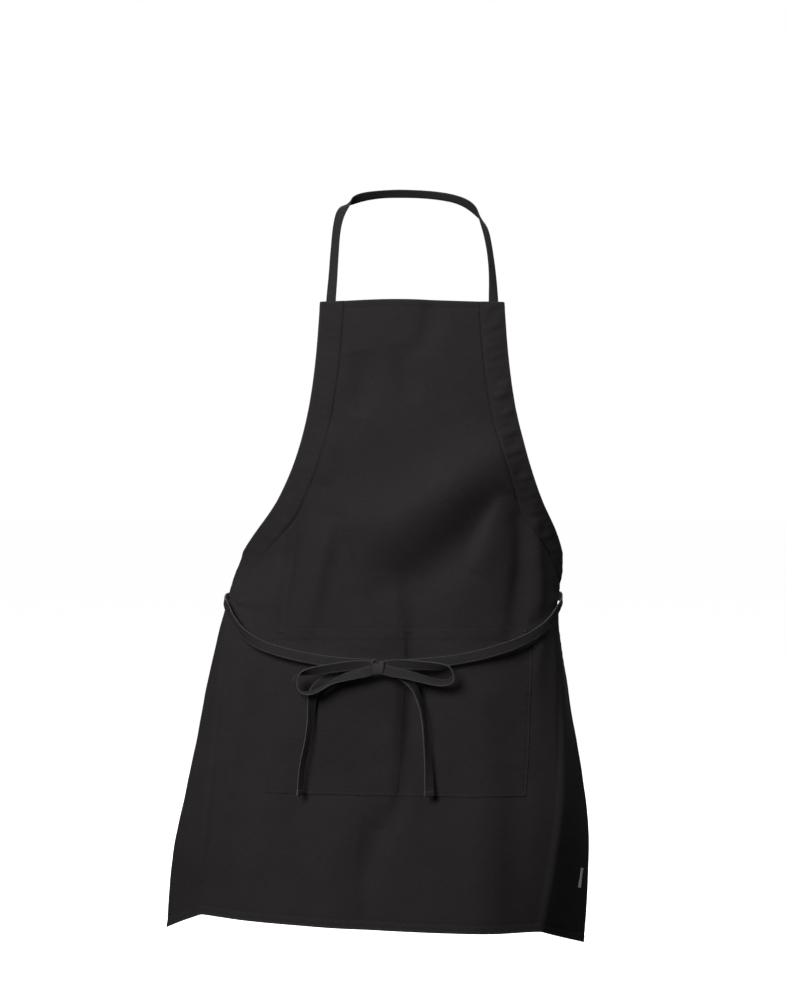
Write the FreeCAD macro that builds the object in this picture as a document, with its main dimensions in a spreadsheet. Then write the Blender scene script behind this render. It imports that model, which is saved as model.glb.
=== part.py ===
import FreeCAD, Part
import math
import os

# A worn full-length bib apron of cotton twill, in millimetres.
# The origin is the crown of the neck loop, where it bears on the nape of the neck.
# +Z is up, the front of the apron faces -Y, and -X is at a viewer's left.
# The cloth is described as a flat pattern: "across" is the distance from the centre line
# and "down" the distance below the top of the bib. drape() hangs that pattern in space.

V = FreeCAD.Vector

DRIVING_SIZES = {
    "panel_length": 762.0,
    "bib_drop": 147.0,
    "cloth_thick": 1.0,
    "channel_width": 30.5,
    "channel_room": 6.5,
    "strap_width": 12.5,
    "strap_thick": 1.6,
    "top_hem": 8.0,
    "bottom_hem": 10.0,
    "side_hem": 12.0,
    "seam_width": 1.4,
    "seam_thick": 0.5,
    "seam_gap": 0.6,
    "pocket_top": 398.0,
    "pocket_bottom": 599.0,
    "pocket_left": 161.0,
    "pocket_right": 155.0,
    "pocket_gap": 0.5,
    "pocket_belly": 11.0,
    "mouth_hem": 14.0,
    "knot_width": 19.0,
    "knot_depth": 11.0,
    "knot_height": 17.0,
    "knot_round": 3.0,
    "label_width": 5.0,
    "label_height": 23.0,
    "label_thick": 0.7,
    "bartack_width": 7.0,
    "bartack_height": 2.0,
    "bartack_thick": 0.7,
}

# Half-width of the flat pattern at distances below the top of the bib. The last point of
# the armhole is the side corner at the waist, and below it the sides run straight to the hem.
ARMHOLE = [(0, 112), (60, 116.5), (120, 124.5), (180, 139.5), (240, 167), (305, 226)]
CORNER_DOWN, CORNER_HALF = ARMHOLE[-1]
HEM_HALF = 305.0

# How the worn apron hangs. Each row holds: down, the centre line's x and y, then angles in
# degrees: the wrap round the body and the fold ridge's kink on the left, the same on the
# right, and how far the right flap flares out again.
HANG = [
    (0, 1, -150, 45, 0, 45, 0, 0),
    (150, 1, -160, 48, 0, 50, 0, 0),
    (305, -1, -166, 57, 6, 78, 0, 0),
    (370, -3, -163, 34, 36, 71, 22, 0),
    (480, -8, -166, 22, 28, 50, 37, -25),
    (620, -17, -170, 22, 18, 28, 50, -42),
    (762, -30, -172, 34, 8, 50, 34, -62),
]
RIDGE_LEFT, RIDGE_LEFT_DRIFT, RIDGE_RIGHT = 228.0, 8.0, 200.0
RIDGE_WIDTH = 24.0
WRAP_REACH, WRAP_POWER = 240.0, 1.6
HANG_SHRINK, HEM_TILT = 0.99, math.tan(math.radians(2.9))
TILT_START, DIP_START = 500.0, 250.0
FLAP_DIP_LEFT, FLAP_DIP_RIGHT = 26.0, 24.0
ARC_STEPS = 40

# Straps and ties. Each point is a control point x, y, z and the direction of the width there.
NECK_ROUTE = [
    (-98.1, -140.9, -184, 0.98, -0.20, 0.0),
    (-97.8, -139.9, -166, 0.98, -0.20, 0.0),
    (-97.5, -138.8, -147, 0.95, -0.30, 0.0),
    (-95.0, -128.0, -116, 0.76, -0.64, 0.05),
    (-93.6, -104.0, -80, 0.72, -0.62, 0.25),
    (-91.5, -76.0, -48, 0.62, -0.62, 0.45),
    (-85.5, -46.0, -23, 0.30, -0.75, 0.60),
    (-70.0, -19.0, -8, 0.05, -0.76, 0.65),
    (-41.0, -4.0, -1, 0.0, -0.72, 0.70),
    (-8.0, 0.5, 0.5, 0.0, -0.70, 0.71),
    (30.0, -3.0, -2, 0.0, -0.70, 0.71),
    (60.0, -17.0, -9, -0.05, -0.76, 0.65),
    (80.0, -40.0, -23, -0.20, -0.80, 0.58),
    (91.0, -68.0, -46, -0.28, -0.82, 0.50),
    (96.0, -98.0, -77, -0.34, -0.84, 0.42),
    (99.0, -126.0, -113, -0.58, -0.76, 0.25),
    (99.5, -138.8, -147, -0.95, -0.30, 0.0),
    (99.8, -139.9, -166, -0.98, -0.20, 0.0),
    (100.1, -140.9, -184, -0.98, -0.20, 0.0),
]
# The tie from the left channel goes round the back and comes forward on the right side.
TIE_FROM_LEFT = [
    (-200.0, -86.0, -455, 0.60, 0.25, 0.75),
    (-207.0, -65.0, -461, 0.25, 0.15, 0.95),
    (-211.0, -34.0, -465, 0.0, 0.1, 1.0),
    (-202.0, 4.0, -469, 0.0, 0.1, 1.0),
    (-178.0, 40.0, -472, 0.0, 0.1, 1.0),
    (-139.0, 69.0, -476, 0.0, 0.05, 1.0),
    (-88.0, 87.0, -481, 0.0, 0.05, 1.0),
    (-30.0, 95.0, -487, 0.0, 0.05, 1.0),
    (32.0, 90.0, -493, 0.0, 0.05, 1.0),
    (88.0, 73.0, -498, 0.0, 0.05, 1.0),
    (133.0, 45.0, -502, 0.0, 0.05, 1.0),
    (165.0, 10.0, -504, 0.0, 0.05, 1.0),
    (184.0, -28.0, -505, 0.0, 0.05, 1.0),
    (191.5, -62.0, -506, 0.0, -0.1, 1.0),
    (188.5, -92.0, -511, -0.1, -0.55, 0.8),
    (178.5, -113.0, -525, -0.3, -0.85, 0.4),
    (163.0, -131.0, -540, -0.5, -0.6, 0.65),
    (137.0, -151.0, -555, -0.42, -0.25, 0.88),
    (101.0, -168.5, -567, -0.26, 0.0, 0.96),
    (60.0, -177.5, -576, -0.16, 0.0, 0.98),
    (20.0, -180.5, -581, -0.06, 0.0, 1.0),
    (-30.0, -182.5, -583, 0.0, 0.0, 1.0),
]
TIE_FROM_RIGHT = [
    (182.0, -65.6, -460, -0.35, 0.2, 0.9),
    (186.0, -40.0, -467, -0.1, 0.1, 0.98),
    (178.0, -8.0, -472, 0.0, 0.1, 1.0),
    (156.0, 27.0, -476, 0.0, 0.1, 1.0),
    (120.0, 58.0, -480, 0.0, 0.05, 1.0),
    (72.0, 78.0, -484, 0.0, 0.05, 1.0),
    (16.0, 86.0, -488, 0.0, 0.05, 1.0),
    (-42.0, 85.0, -492, 0.0, 0.05, 1.0),
    (-98.0, 74.0, -496, 0.0, 0.05, 1.0),
    (-148.0, 51.0, -500, 0.0, 0.05, 1.0),
    (-188.0, 18.0, -503, 0.0, 0.05, 1.0),
    (-216.0, -22.0, -505, 0.0, 0.05, 1.0),
    (-231.6, -62.0, -507, 0.0, 0.0, 1.0),
    (-236.7, -97.0, -509, 0.0, -0.1, 1.0),
    (-233.0, -123.2, -514, 0.1, -0.6, 0.8),
    (-222.0, -138.0, -529, 0.3, -0.9, 0.3),
    (-206.0, -148.0, -545, 0.6, -0.7, 0.5),
    (-184.0, -157.0, -560, 0.5, -0.25, 0.82),
    (-154.0, -168.0, -569, 0.25, 0.0, 0.97),
    (-120.0, -176.5, -576, 0.14, 0.0, 0.99),
    (-86.0, -181.0, -580, 0.08, 0.0, 1.0),
    (-50.0, -182.5, -581.5, 0.03, 0.0, 1.0),
]
LOOP_LEFT = [
    (-53.0, -185.4, -583, 0.0, -0.12, 0.99),
    (-72.0, -187.5, -583, 0.0, -0.30, 0.95),
    (-94.0, -190.0, -586, 0.1, -0.30, 0.95),
    (-116.0, -191.5, -589, 0.3, -0.20, 0.93),
    (-136.0, -191.5, -593, 0.7, -0.55, 0.3),
    (-140.5, -190.5, -606, 0.2, -0.97, 0.1),
    (-130.0, -190.0, -617, -0.2, -0.95, -0.35),
    (-113.0, -190.0, -614, -0.45, -0.75, -0.55),
    (-94.0, -189.0, -602, -0.4, -0.7, -0.6),
    (-74.0, -188.6, -595.0, -0.15, -0.55, -0.82),
    (-53.0, -189.0, -590.5, 0.0, -0.30, -0.95),
]
LOOP_RIGHT = [
    (-27.0, -185.4, -582, 0.0, -0.12, 0.99),
    (-8.0, -187.8, -581.5, 0.0, -0.30, 0.95),
    (16.0, -190.0, -583, 0.0, -0.50, 0.86),
    (36.0, -191.5, -584, -0.1, -0.60, 0.8),
    (47.0, -191.5, -586, -0.5, -0.85, 0.3),
    (50.5, -190.5, -594, 0.0, -1.0, 0.0),
    (46.5, -190.0, -602.5, 0.5, -0.85, -0.3),
    (33.0, -189.5, -604, 0.3, -0.75, -0.6),
    (14.0, -189.0, -599, 0.3, -0.6, -0.72),
    (-8.0, -188.9, -593, 0.15, -0.45, -0.87),
    (-27.0, -189.0, -590, 0.0, -0.30, -0.95),
]
LEAD_LEFT = [
    (-50.0, -180.5, -589, 0.0, 0.15, 0.99),
    (-72.0, -178.5, -591, -0.1, 0.15, 0.98),
    (-94.0, -178.5, -596, -0.35, 0.1, 0.92),
    (-110.0, -179.0, -606, -0.7, -0.2, 0.7),
    (-118.0, -179.8, -616, -0.9, -0.4, 0.35),
]
LEAD_RIGHT = [
    (-29.6, -180.5, -590.5, 0.3, 0.0, 0.95),
    (-18.0, -180.5, -592, 0.3, 0.3, 0.9),
    (-6.0, -181.0, -599, 0.45, 0.55, 0.7),
    (2.0, -182.0, -608, 0.5, 0.72, 0.48),
    (7.0, -182.5, -617, 0.48, 0.82, 0.3),
]
TAIL_LEFT = [
    (-119.5, -180.0, -621, -0.85, -0.52, -0.1),
    (-120.0, -181.0, -634, -0.70, -0.70, 0.0),
    (-121.0, -181.5, -652, -0.62, -0.78, 0.0),
    (-124.0, -181.0, -674, -0.60, -0.80, 0.0),
    (-129.0, -179.5, -696, -0.62, -0.78, 0.0),
    (-132.0, -177.0, -718, -0.62, -0.78, 0.0),
    (-133.0, -176.5, -739, -0.62, -0.78, 0.0),
]
TAIL_RIGHT = [
    (9.0, -182.5, -622, 0.46, 0.86, 0.2),
    (13.0, -182.8, -636, 0.45, 0.88, 0.1),
    (16.0, -182.8, -656, 0.45, 0.88, 0.05),
    (18.0, -182.3, -682, 0.55, 0.83, 0.0),
    (20.0, -181.8, -711, 0.72, 0.68, 0.0),
    (21.0, -181.3, -740, 0.92, 0.38, 0.0),
]

KNOT_PLACE = V(-40.0, -185.0, -586.5)
LABEL_ACROSS, LABEL_DOWN, LABEL_CLEAR = 276.5, 687.0, 1.6
RUN_ACROSS, RUN_DOWN = 33, 20.0


def make_sheet(doc):
    """The driving sizes, one row each, as plain numbers with aliases."""
    sheet = doc.addObject("Spreadsheet::Sheet", "Sizes")
    for row, (alias, value) in enumerate(DRIVING_SIZES.items(), start=1):
        sheet.set(f"A{row}", alias)
        sheet.set(f"B{row}", str(value))
        sheet.setAlias(f"B{row}", alias)
    doc.recompute()
    return sheet


def monotone(points, at):
    """A smooth curve through (place, value) points that doesn't overshoot them."""
    places = [point[0] for point in points]
    values = [point[1] for point in points]
    at = min(max(at, places[0]), places[-1])
    count = len(points)
    steps = [places[i + 1] - places[i] for i in range(count - 1)]
    rises = [(values[i + 1] - values[i]) / steps[i] for i in range(count - 1)]
    slopes = [rises[0]]
    for before, after in zip(rises, rises[1:]):
        level = before * after <= 0
        slopes.append(0.0 if level else 2 * before * after / (before + after))
    slopes.append(rises[-1])
    i = max(k for k in range(count - 1) if places[k] <= at)
    x = (at - places[i]) / steps[i]
    start = (1 + 2 * x) * (1 - x) ** 2 * values[i] + x * (1 - x) ** 2 * steps[i] * slopes[i]
    end = x * x * (3 - 2 * x) * values[i + 1] + x * x * (x - 1) * steps[i] * slopes[i + 1]
    return start + end


def smooth(x):
    """Rises gently from 0 to 1 as x goes from 0 to 1."""
    x = min(max(x, 0.0), 1.0)
    return x * x * (3 - 2 * x)


def half_width(down):
    """Half-width of the flat pattern at a distance below the top of the bib."""
    if down <= CORNER_DOWN:
        return monotone(ARMHOLE, down)
    share = (down - CORNER_DOWN) / (DRIVING_SIZES["panel_length"] - CORNER_DOWN)
    return CORNER_HALF + (HEM_HALF - CORNER_HALF) * share


HANG_CACHE = {}


def hang(down):
    """The interpolated row of HANG at a distance below the top of the bib."""
    key = round(down, 3)
    if key not in HANG_CACHE:
        columns = range(1, len(HANG[0]))
        HANG_CACHE[key] = [monotone([(row[0], row[c]) for row in HANG], down) for c in columns]
    return HANG_CACHE[key]


def ridge(side, down):
    """Distance across from the centre line to a side's fold ridge."""
    if side > 0:
        return RIDGE_RIGHT
    share = (down - CORNER_DOWN) / (DRIVING_SIZES["panel_length"] - CORNER_DOWN)
    return RIDGE_LEFT + RIDGE_LEFT_DRIFT * min(max(share, 0.0), 1.0)


def heading(across, side, row, down):
    """How far the cloth has turned backwards from facing the front, in radians."""
    wrap, kink = (row[2], row[3]) if side < 0 else (row[4], row[5])
    flare = 0.0 if side < 0 else row[6]
    edge = ridge(side, down)
    past = min(max((across - edge) / (HEM_HALF - edge), 0.0), 1.2)
    turn = kink * smooth((across - edge + RIDGE_WIDTH / 2) / RIDGE_WIDTH)
    return math.radians(wrap * (across / WRAP_REACH) ** WRAP_POWER + turn + flare * past)


def drape(across, down):
    """The place in space of a point of the flat pattern."""
    row = hang(down)
    side = -1 if across < 0 else 1
    reach = abs(across)
    step = reach / ARC_STEPS
    x = 0.0
    y = 0.0
    for i in range(ARC_STEPS):
        angle = heading((i + 0.5) * step, side, row, down)
        x += math.cos(angle) * step
        y += math.sin(angle) * step
    edge = ridge(side, down)
    past = min(max((reach - edge) / (HEM_HALF - edge), 0.0), 1.2)
    dip = FLAP_DIP_LEFT if side < 0 else FLAP_DIP_RIGHT
    length = DRIVING_SIZES["panel_length"]
    tilt = HEM_TILT * smooth((down - TILT_START) / (length - TILT_START))
    dip *= smooth((down - DIP_START) / (length - DIP_START))
    z = -DRIVING_SIZES["bib_drop"] - down * HANG_SHRINK - tilt * side * x - dip * past
    return V(row[0] + side * x, row[1] + y, z)


def inward(across, down):
    """The cloth's unit normal, pointing from its face to its back."""
    reach = 0.5
    along = drape(across + reach, down) - drape(across - reach, down)
    up = drape(across, down - reach) - drape(across, down + reach)
    return up.cross(along).normalize()


def lift(across, down, behind):
    """A point a distance behind the middle of the cloth, or in front if it is negative."""
    return drape(across, down) + inward(across, down) * behind


def spline(points):
    """A curve that passes through the points, evenly paced so that its neighbours match it."""
    curve = Part.BSplineCurve()
    curve.interpolate(Points=points, Parameters=[float(i) for i in range(len(points))])
    return curve


def clamped(poles):
    """A curve with these control points: a quadratic spline that touches its two ends."""
    inner = len(poles) - 3
    knots = [float(k) for k in range(inner + 2)]
    mults = [3] + [1] * inner + [3]
    curve = Part.BSplineCurve()
    curve.buildFromPolesMultsKnots(poles, mults, knots, False, 2)
    return curve


def ruled(first, second):
    """The face of straight lines between two curves of the same make."""
    surface = Part.BSplineSurface()
    poles = [first.getPoles(), second.getPoles()]
    mults = first.getMultiplicities()
    knots = first.getKnots()
    surface.buildFromPolesMultsKnots(poles, [2, 2], mults, [0.0, 1.0], knots, False, False, 1, first.Degree)
    return surface.toShape()


def quad(a, b, c, d):
    """The face through four corners in order."""
    surface = Part.BSplineSurface()
    flat = ([2, 2], [2, 2], [0.0, 1.0], [0.0, 1.0], False, False, 1, 1)
    surface.buildFromPolesMultsKnots([[a, b], [d, c]], *flat)
    return surface.toShape()


def solid_of(faces):
    """Sews faces that share their edges into a closed solid."""
    shell = Part.makeShell(faces)
    shell.sewShape()
    solid = Part.makeSolid(Part.Shell(shell.Faces))
    if solid.Volume < 0:
        solid.reverse()
    return solid


def slab(fronts, backs):
    """A thin solid between two grids of points, one list per crosswise run."""
    front_curves = [spline(run) for run in fronts]
    back_curves = [spline(run) for run in backs]
    faces = []
    for i in range(len(fronts) - 1):
        faces.append(ruled(front_curves[i], front_curves[i + 1]))
        faces.append(ruled(back_curves[i], back_curves[i + 1]))
        for end in (0, -1):
            faces.append(quad(fronts[i][end], fronts[i + 1][end], backs[i + 1][end], backs[i][end]))
    for i in (0, -1):
        faces.append(ruled(front_curves[i], back_curves[i]))
    return solid_of(faces)


def bar(rails, curve_of):
    """A solid bar between four rails of points, listed in order round its section."""
    curves = [curve_of(rail) for rail in rails]
    faces = [ruled(curves[i], curves[(i + 1) % 4]) for i in range(4)]
    for end in (0, -1):
        faces.append(quad(*[rail[end] for rail in rails]))
    return solid_of(faces)


def strap(route, width, thick):
    """A flat strap along control points that each name the direction of the width."""
    rails = [[], [], [], []]
    places = [V(*point[:3]) for point in route]
    for i, point in enumerate(route):
        ahead = places[min(i + 1, len(route) - 1)] - places[max(i - 1, 0)]
        ahead.normalize()
        side = V(*point[3:])
        side = side - ahead * side.dot(ahead)
        side.normalize()
        face = ahead.cross(side)
        for rail, (w, f) in zip(rails, ((-1, -1), (1, -1), (1, 1), (-1, 1))):
            rail.append(places[i] + side * (w * width / 2) + face * (f * thick / 2))
    return bar(rails, clamped)


def seam(path, near, width, thick):
    """A bead of stitching along (across, down) points, its back `near` ahead of the cloth's middle."""
    rails = [[], [], [], []]
    for i, (across, down) in enumerate(path):
        last = path[max(i - 1, 0)]
        after = path[min(i + 1, len(path) - 1)]
        run = math.hypot(after[0] - last[0], after[1] - last[1])
        sway = ((last[1] - after[1]) / run, (after[0] - last[0]) / run)
        for rail, (w, off) in zip(rails, ((-1, near), (1, near), (1, near + thick), (-1, near + thick))):
            reach = w * width / 2
            rail.append(lift(across + sway[0] * reach, down + sway[1] * reach, -off))
    return bar(rails, spline)


def steps(start, end, longest):
    """Evenly spaced numbers from start to end, no further apart than longest."""
    count = max(1, math.ceil(abs(end - start) / longest))
    return [start + (end - start) * i / count for i in range(count + 1)]


def down_stations(size):
    """The crosswise runs of the panel, one of them at the waist corners."""
    return steps(0, CORNER_DOWN, RUN_DOWN)[:-1] + steps(CORNER_DOWN, size["panel_length"], RUN_DOWN)


def panel_run(down, behind):
    """One crosswise run of the panel's face or back."""
    half = half_width(down)
    shares = [2 * i / (RUN_ACROSS - 1) - 1 for i in range(RUN_ACROSS)]
    return [lift(share * half, down, behind) for share in shares]


def apron_panel(size):
    """The one-piece body of the apron: the bib and the skirt."""
    half_thick = size["cloth_thick"] / 2
    stations = down_stations(size)
    fronts = [panel_run(down, -half_thick) for down in stations]
    backs = [panel_run(down, half_thick) for down in stations]
    return slab(fronts, backs)


def beside_armhole(side, down, inset):
    """The pattern point that lies `inset` inside the armhole's edge, square to it."""
    reach = 1.0
    slope = (half_width(min(down, CORNER_DOWN)) - half_width(min(down, CORNER_DOWN) - reach)) / reach
    long = math.hypot(1.0, slope)
    edge = half_width(min(down, CORNER_DOWN)) + slope * max(down - CORNER_DOWN, 0.0)
    return side * (edge - inset / long), down + inset * slope / long


def channel_facing(size, side):
    """The strip sewn behind an armhole's edge, which makes the channel for the strap."""
    half_thick = size["cloth_thick"] / 2
    inset, rest, wide = 1.0, 1.0, size["channel_width"] - 2.0
    shares = [i / 8 for i in range(9)]
    fronts = []
    backs = []
    for down in steps(4.0, 288.0, RUN_DOWN) + [CORNER_DOWN]:
        front = []
        back = []
        for share in shares:
            across, at = beside_armhole(side, down, inset + share * wide)
            if down == CORNER_DOWN:
                at = CORNER_DOWN + 2.0 + share * wide
                across = side * (half_width(at) - inset)
            room = size["channel_room"] * min(1.0, 5.2 * share * (1 - share))
            off = 2 * half_thick + rest + room
            front.append(lift(across, at, off - half_thick))
            back.append(lift(across, at, off + half_thick))
        fronts.append(front)
        backs.append(back)
    return slab(fronts, backs)


def channel_strap(size, side):
    """The part of the strap that runs hidden along a channel, down to its open lower end."""
    rails = [[], [], [], []]
    behind = size["cloth_thick"] + size["channel_room"] / 2
    middle = size["channel_width"] / 2
    for down in steps(120.0, 292.0, 12.0):
        for rail, (w, f) in zip(rails, ((-1, -1), (1, -1), (1, 1), (-1, 1))):
            across, at = beside_armhole(side, down, middle + w * size["strap_width"] / 2)
            rail.append(lift(across, at, behind + f * size["strap_thick"] / 2))
    return bar(rails, spline)


def pocket_offset(size, across, down):
    """How far the pouch stands off the panel: each section has a belly and an open mouth."""
    left, right = size["pocket_left"], size["pocket_right"]
    share = (across + left) / left if across < 0 else across / right
    along = (down - size["pocket_top"]) / (size["pocket_bottom"] - size["pocket_top"])
    bulge = math.sin(math.pi * min(max(share, 0.0), 1.0)) ** 0.7
    depth = 0.8 * min(1.0, 2.6 * (1 - along)) + 0.2 * math.sin(math.pi * along) ** 2
    return size["cloth_thick"] + size["pocket_gap"] + size["pocket_belly"] * bulge * depth


def pouch_pocket(size):
    """The two-section patch pocket on the front of the skirt, open at its top."""
    half_thick = size["cloth_thick"] / 2
    left, right = size["pocket_left"], size["pocket_right"]
    columns = [-left * i / 12 for i in range(12, 0, -1)] + [right * i / 12 for i in range(13)]
    fronts = []
    backs = []
    for down in steps(size["pocket_top"], size["pocket_bottom"], 16.0):
        offs = [(across, pocket_offset(size, across, down)) for across in columns]
        fronts.append([lift(across, down, -off - half_thick) for across, off in offs])
        backs.append([lift(across, down, -off + half_thick) for across, off in offs])
    return slab(fronts, backs)


def pocket_seam(size, path):
    """A stitched line on the pouch, which follows its belly."""
    rails = [[], [], [], []]
    near = size["cloth_thick"] / 2 + size["seam_gap"]
    far = near + size["seam_thick"]
    for i, (across, down) in enumerate(path):
        last = path[max(i - 1, 0)]
        after = path[min(i + 1, len(path) - 1)]
        run = math.hypot(after[0] - last[0], after[1] - last[1])
        sway = ((last[1] - after[1]) / run, (after[0] - last[0]) / run)
        for rail, (w, off) in zip(rails, ((-1, near), (1, near), (1, far), (-1, far))):
            u = across + sway[0] * w * size["seam_width"] / 2
            v = down + sway[1] * w * size["seam_width"] / 2
            rail.append(lift(u, v, -off - pocket_offset(size, u, v)))
    return bar(rails, spline)


def channel_seam_path(size, side):
    """The stitched line along the inner edge of a channel, which runs out at the side."""
    downs = steps(1.0, CORNER_DOWN + 2.0, 12.0)
    return [beside_armhole(side, down, size["channel_width"]) for down in downs]


def side_hem_path(size, side):
    """The stitched line along a side hem, from the channel's end to the bottom hem."""
    downs = steps(346.0, size["panel_length"] - 3.0, 12.0)
    return [(side * (half_width(down) - size["side_hem"]), down) for down in downs]


def level_path(start, end, down):
    """A stitched line straight across the cloth."""
    return [(across, down) for across in steps(start, end, 8.0)]


def add_feature(doc, name, shape):
    """Adds a sub-part whose shape is made directly from cloth or strap geometry."""
    part = doc.addObject("Part::Feature", name)
    part.Shape = shape
    part.Placement = FreeCAD.Placement()
    part.Label = name
    return part


def add_stitching(doc, size):
    """The stitched lines of hems, channels and pouch, as continuous beads."""
    near = size["cloth_thick"] / 2 + size["seam_gap"]
    bead = (near, size["seam_width"], size["seam_thick"])
    top_half = half_width(size["top_hem"]) - size["channel_width"] - 4.0
    bottom_half = half_width(size["panel_length"] - size["bottom_hem"]) - 3.0
    foot = size["panel_length"] - size["bottom_hem"]
    sides = [("left", -1), ("right", 1)]
    parts = [add_feature(doc, "top_hem_stitching", seam(level_path(-top_half, top_half, size["top_hem"]), *bead))]
    inner = bottom_half - size["side_hem"]
    parts.append(add_feature(doc, "bottom_hem_stitching", seam(level_path(-inner, inner, foot), *bead)))
    for word, side in sides:
        path = channel_seam_path(size, side)
        parts.append(add_feature(doc, f"channel_stitching_{word}", seam(path, 2 * near, *bead[1:])))
        path = side_hem_path(size, side)
        parts.append(add_feature(doc, f"side_hem_stitching_{word}", seam(path, *bead)))
    edge = 3.0
    top, bottom = size["pocket_top"] + edge, size["pocket_bottom"] - edge
    left, right = size["pocket_left"] - edge, size["pocket_right"] - edge
    lines = {
        "pocket_left_stitching": [(-left, down) for down in steps(top, bottom - edge, 10.0)],
        "pocket_right_stitching": [(right, down) for down in steps(top, bottom - edge, 10.0)],
        "pocket_bottom_stitching": level_path(-left, right, bottom),
        "pocket_division_stitching": [(0.0, down) for down in steps(top + size["mouth_hem"], bottom - edge, 10.0)],
        "pocket_mouth_stitching": level_path(2 * edge - left, right - 2 * edge, top + size["mouth_hem"] - edge),
    }
    for name, path in lines.items():
        parts.append(add_feature(doc, name, pocket_seam(size, path)))
    return parts


def add_straps(doc, size):
    """The one-piece strap's visible lengths: neck loop, ties, bow loops and tails."""
    routes = {
        "neck_strap": NECK_ROUTE,
        "waist_tie_left": TIE_FROM_LEFT,
        "waist_tie_right": TIE_FROM_RIGHT,
        "bow_loop_left": LOOP_LEFT,
        "bow_loop_right": LOOP_RIGHT,
        "tail_lead_left": LEAD_LEFT,
        "tail_lead_right": LEAD_RIGHT,
        "tie_tail_left": TAIL_LEFT,
        "tie_tail_right": TAIL_RIGHT,
    }
    parts = []
    for name, route in routes.items():
        shape = strap(route, size["strap_width"], size["strap_thick"])
        parts.append(add_feature(doc, name, shape))
    for word, side in (("left", -1), ("right", 1)):
        parts.append(add_feature(doc, f"channel_strap_{word}", channel_strap(size, side)))
    return parts


def add_knot(doc):
    """The bow's knot: a rounded block that the ties, loops and tails meet."""
    block = doc.addObject("Part::Box", "KnotBlock")
    block.setExpression("Length", "Sizes.knot_width")
    block.setExpression("Width", "Sizes.knot_depth")
    block.setExpression("Height", "Sizes.knot_height")
    doc.recompute()
    knot = doc.addObject("Part::Fillet", "bow_knot")
    knot.Base = block
    upright = []
    for index, edge in enumerate(block.Shape.Edges, start=1):
        ends = [vertex.Point for vertex in edge.Vertexes]
        if abs(ends[0].x - ends[1].x) > 1.0:
            upright.append((index, DRIVING_SIZES["knot_round"], DRIVING_SIZES["knot_round"]))
    knot.Edges = upright
    knot.Label = "bow_knot"
    size = V(DRIVING_SIZES["knot_width"], DRIVING_SIZES["knot_depth"], DRIVING_SIZES["knot_height"])
    knot.Placement = FreeCAD.Placement(KNOT_PLACE - size * 0.5, FreeCAD.Rotation())
    return knot


def facing_rotation(across, down):
    """Turns a block's X along the cloth, its Y to the cloth's back and its Z up the cloth."""
    back = inward(across, down)
    up = drape(across, down - 1.0) - drape(across, down + 1.0)
    right = up.cross(back) * -1.0
    return FreeCAD.Rotation(right.normalize(), back, up.normalize(), "YZX")


def add_label(doc):
    """The small blank label sewn flat on the right flap's hem."""
    label = doc.addObject("Part::Box", "side_label")
    label.setExpression("Length", "Sizes.label_width")
    label.setExpression("Width", "Sizes.label_thick")
    label.setExpression("Height", "Sizes.label_height")
    label.Label = "side_label"
    turn = facing_rotation(LABEL_ACROSS, LABEL_DOWN)
    wide, thick, tall = (DRIVING_SIZES[k] for k in ("label_width", "label_thick", "label_height"))
    corner = turn.multVec(V(-wide / 2, -thick - LABEL_CLEAR, -tall / 2))
    label.Placement = FreeCAD.Placement(drape(LABEL_ACROSS, LABEL_DOWN) + corner, turn)
    return label


def add_bartacks(doc, size):
    """Three bar tacks on the pouch's mouth: at its two corners and at the division."""
    middle = size["bartack_width"]
    places = [-size["pocket_left"] + middle, 0.0, size["pocket_right"] - middle]
    blocks = []
    for index, across in enumerate(places):
        block = doc.addObject("Part::Box", f"Bartack{index}")
        block.setExpression("Length", "Sizes.bartack_width")
        block.setExpression("Width", "Sizes.bartack_thick")
        block.setExpression("Height", "Sizes.bartack_height")
        down = size["pocket_top"] + 4.0
        turn = facing_rotation(across, down)
        half = size["bartack_width"] / 2
        ahead = size["cloth_thick"] / 2 + size["bartack_thick"] + size["seam_gap"]
        stand = max(pocket_offset(size, across + w * half, down) for w in (-1, 0, 1))
        corner = turn.multVec(V(-half, -ahead - stand, -size["bartack_height"] / 2))
        block.Placement = FreeCAD.Placement(drape(across, down) + corner, turn)
        blocks.append(block)
    group = doc.addObject("Part::Compound", "pocket_bartacks")
    group.Links = blocks
    group.Label = "pocket_bartacks"
    return group


def check(doc, parts):
    """Stops if any object failed to recompute or any sub-part's shape is unsound."""
    for item in doc.Objects:
        if "Invalid" in item.State or "Error" in item.State:
            raise RuntimeError(f"{item.Label} failed to recompute: {item.State}")
    for part in parts:
        shape = part.Shape
        if shape.isNull() or not shape.isValid() or not shape.Solids:
            raise RuntimeError(f"{part.Label} has an unsound shape")


def main():
    os.makedirs("parts", exist_ok=True)
    doc = FreeCAD.newDocument("BibApron")
    sheet = make_sheet(doc)
    size = {alias: float(getattr(sheet, alias)) for alias in DRIVING_SIZES}
    parts = [
        add_feature(doc, "apron_panel", apron_panel(size)),
        add_feature(doc, "channel_facing_left", channel_facing(size, -1)),
        add_feature(doc, "channel_facing_right", channel_facing(size, 1)),
        add_feature(doc, "pouch_pocket", pouch_pocket(size)),
        add_knot(doc),
        add_label(doc),
        add_bartacks(doc, size),
    ]
    parts += add_straps(doc, size)
    parts += add_stitching(doc, size)
    doc.recompute()
    check(doc, parts)
    for part in parts:
        part.Shape.exportStep(f"parts/{part.Label}.step")
        print(f"{part.Label}: {part.Shape.Volume:.0f} mm3, {len(part.Shape.Faces)} faces")


main()
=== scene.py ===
import math

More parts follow.
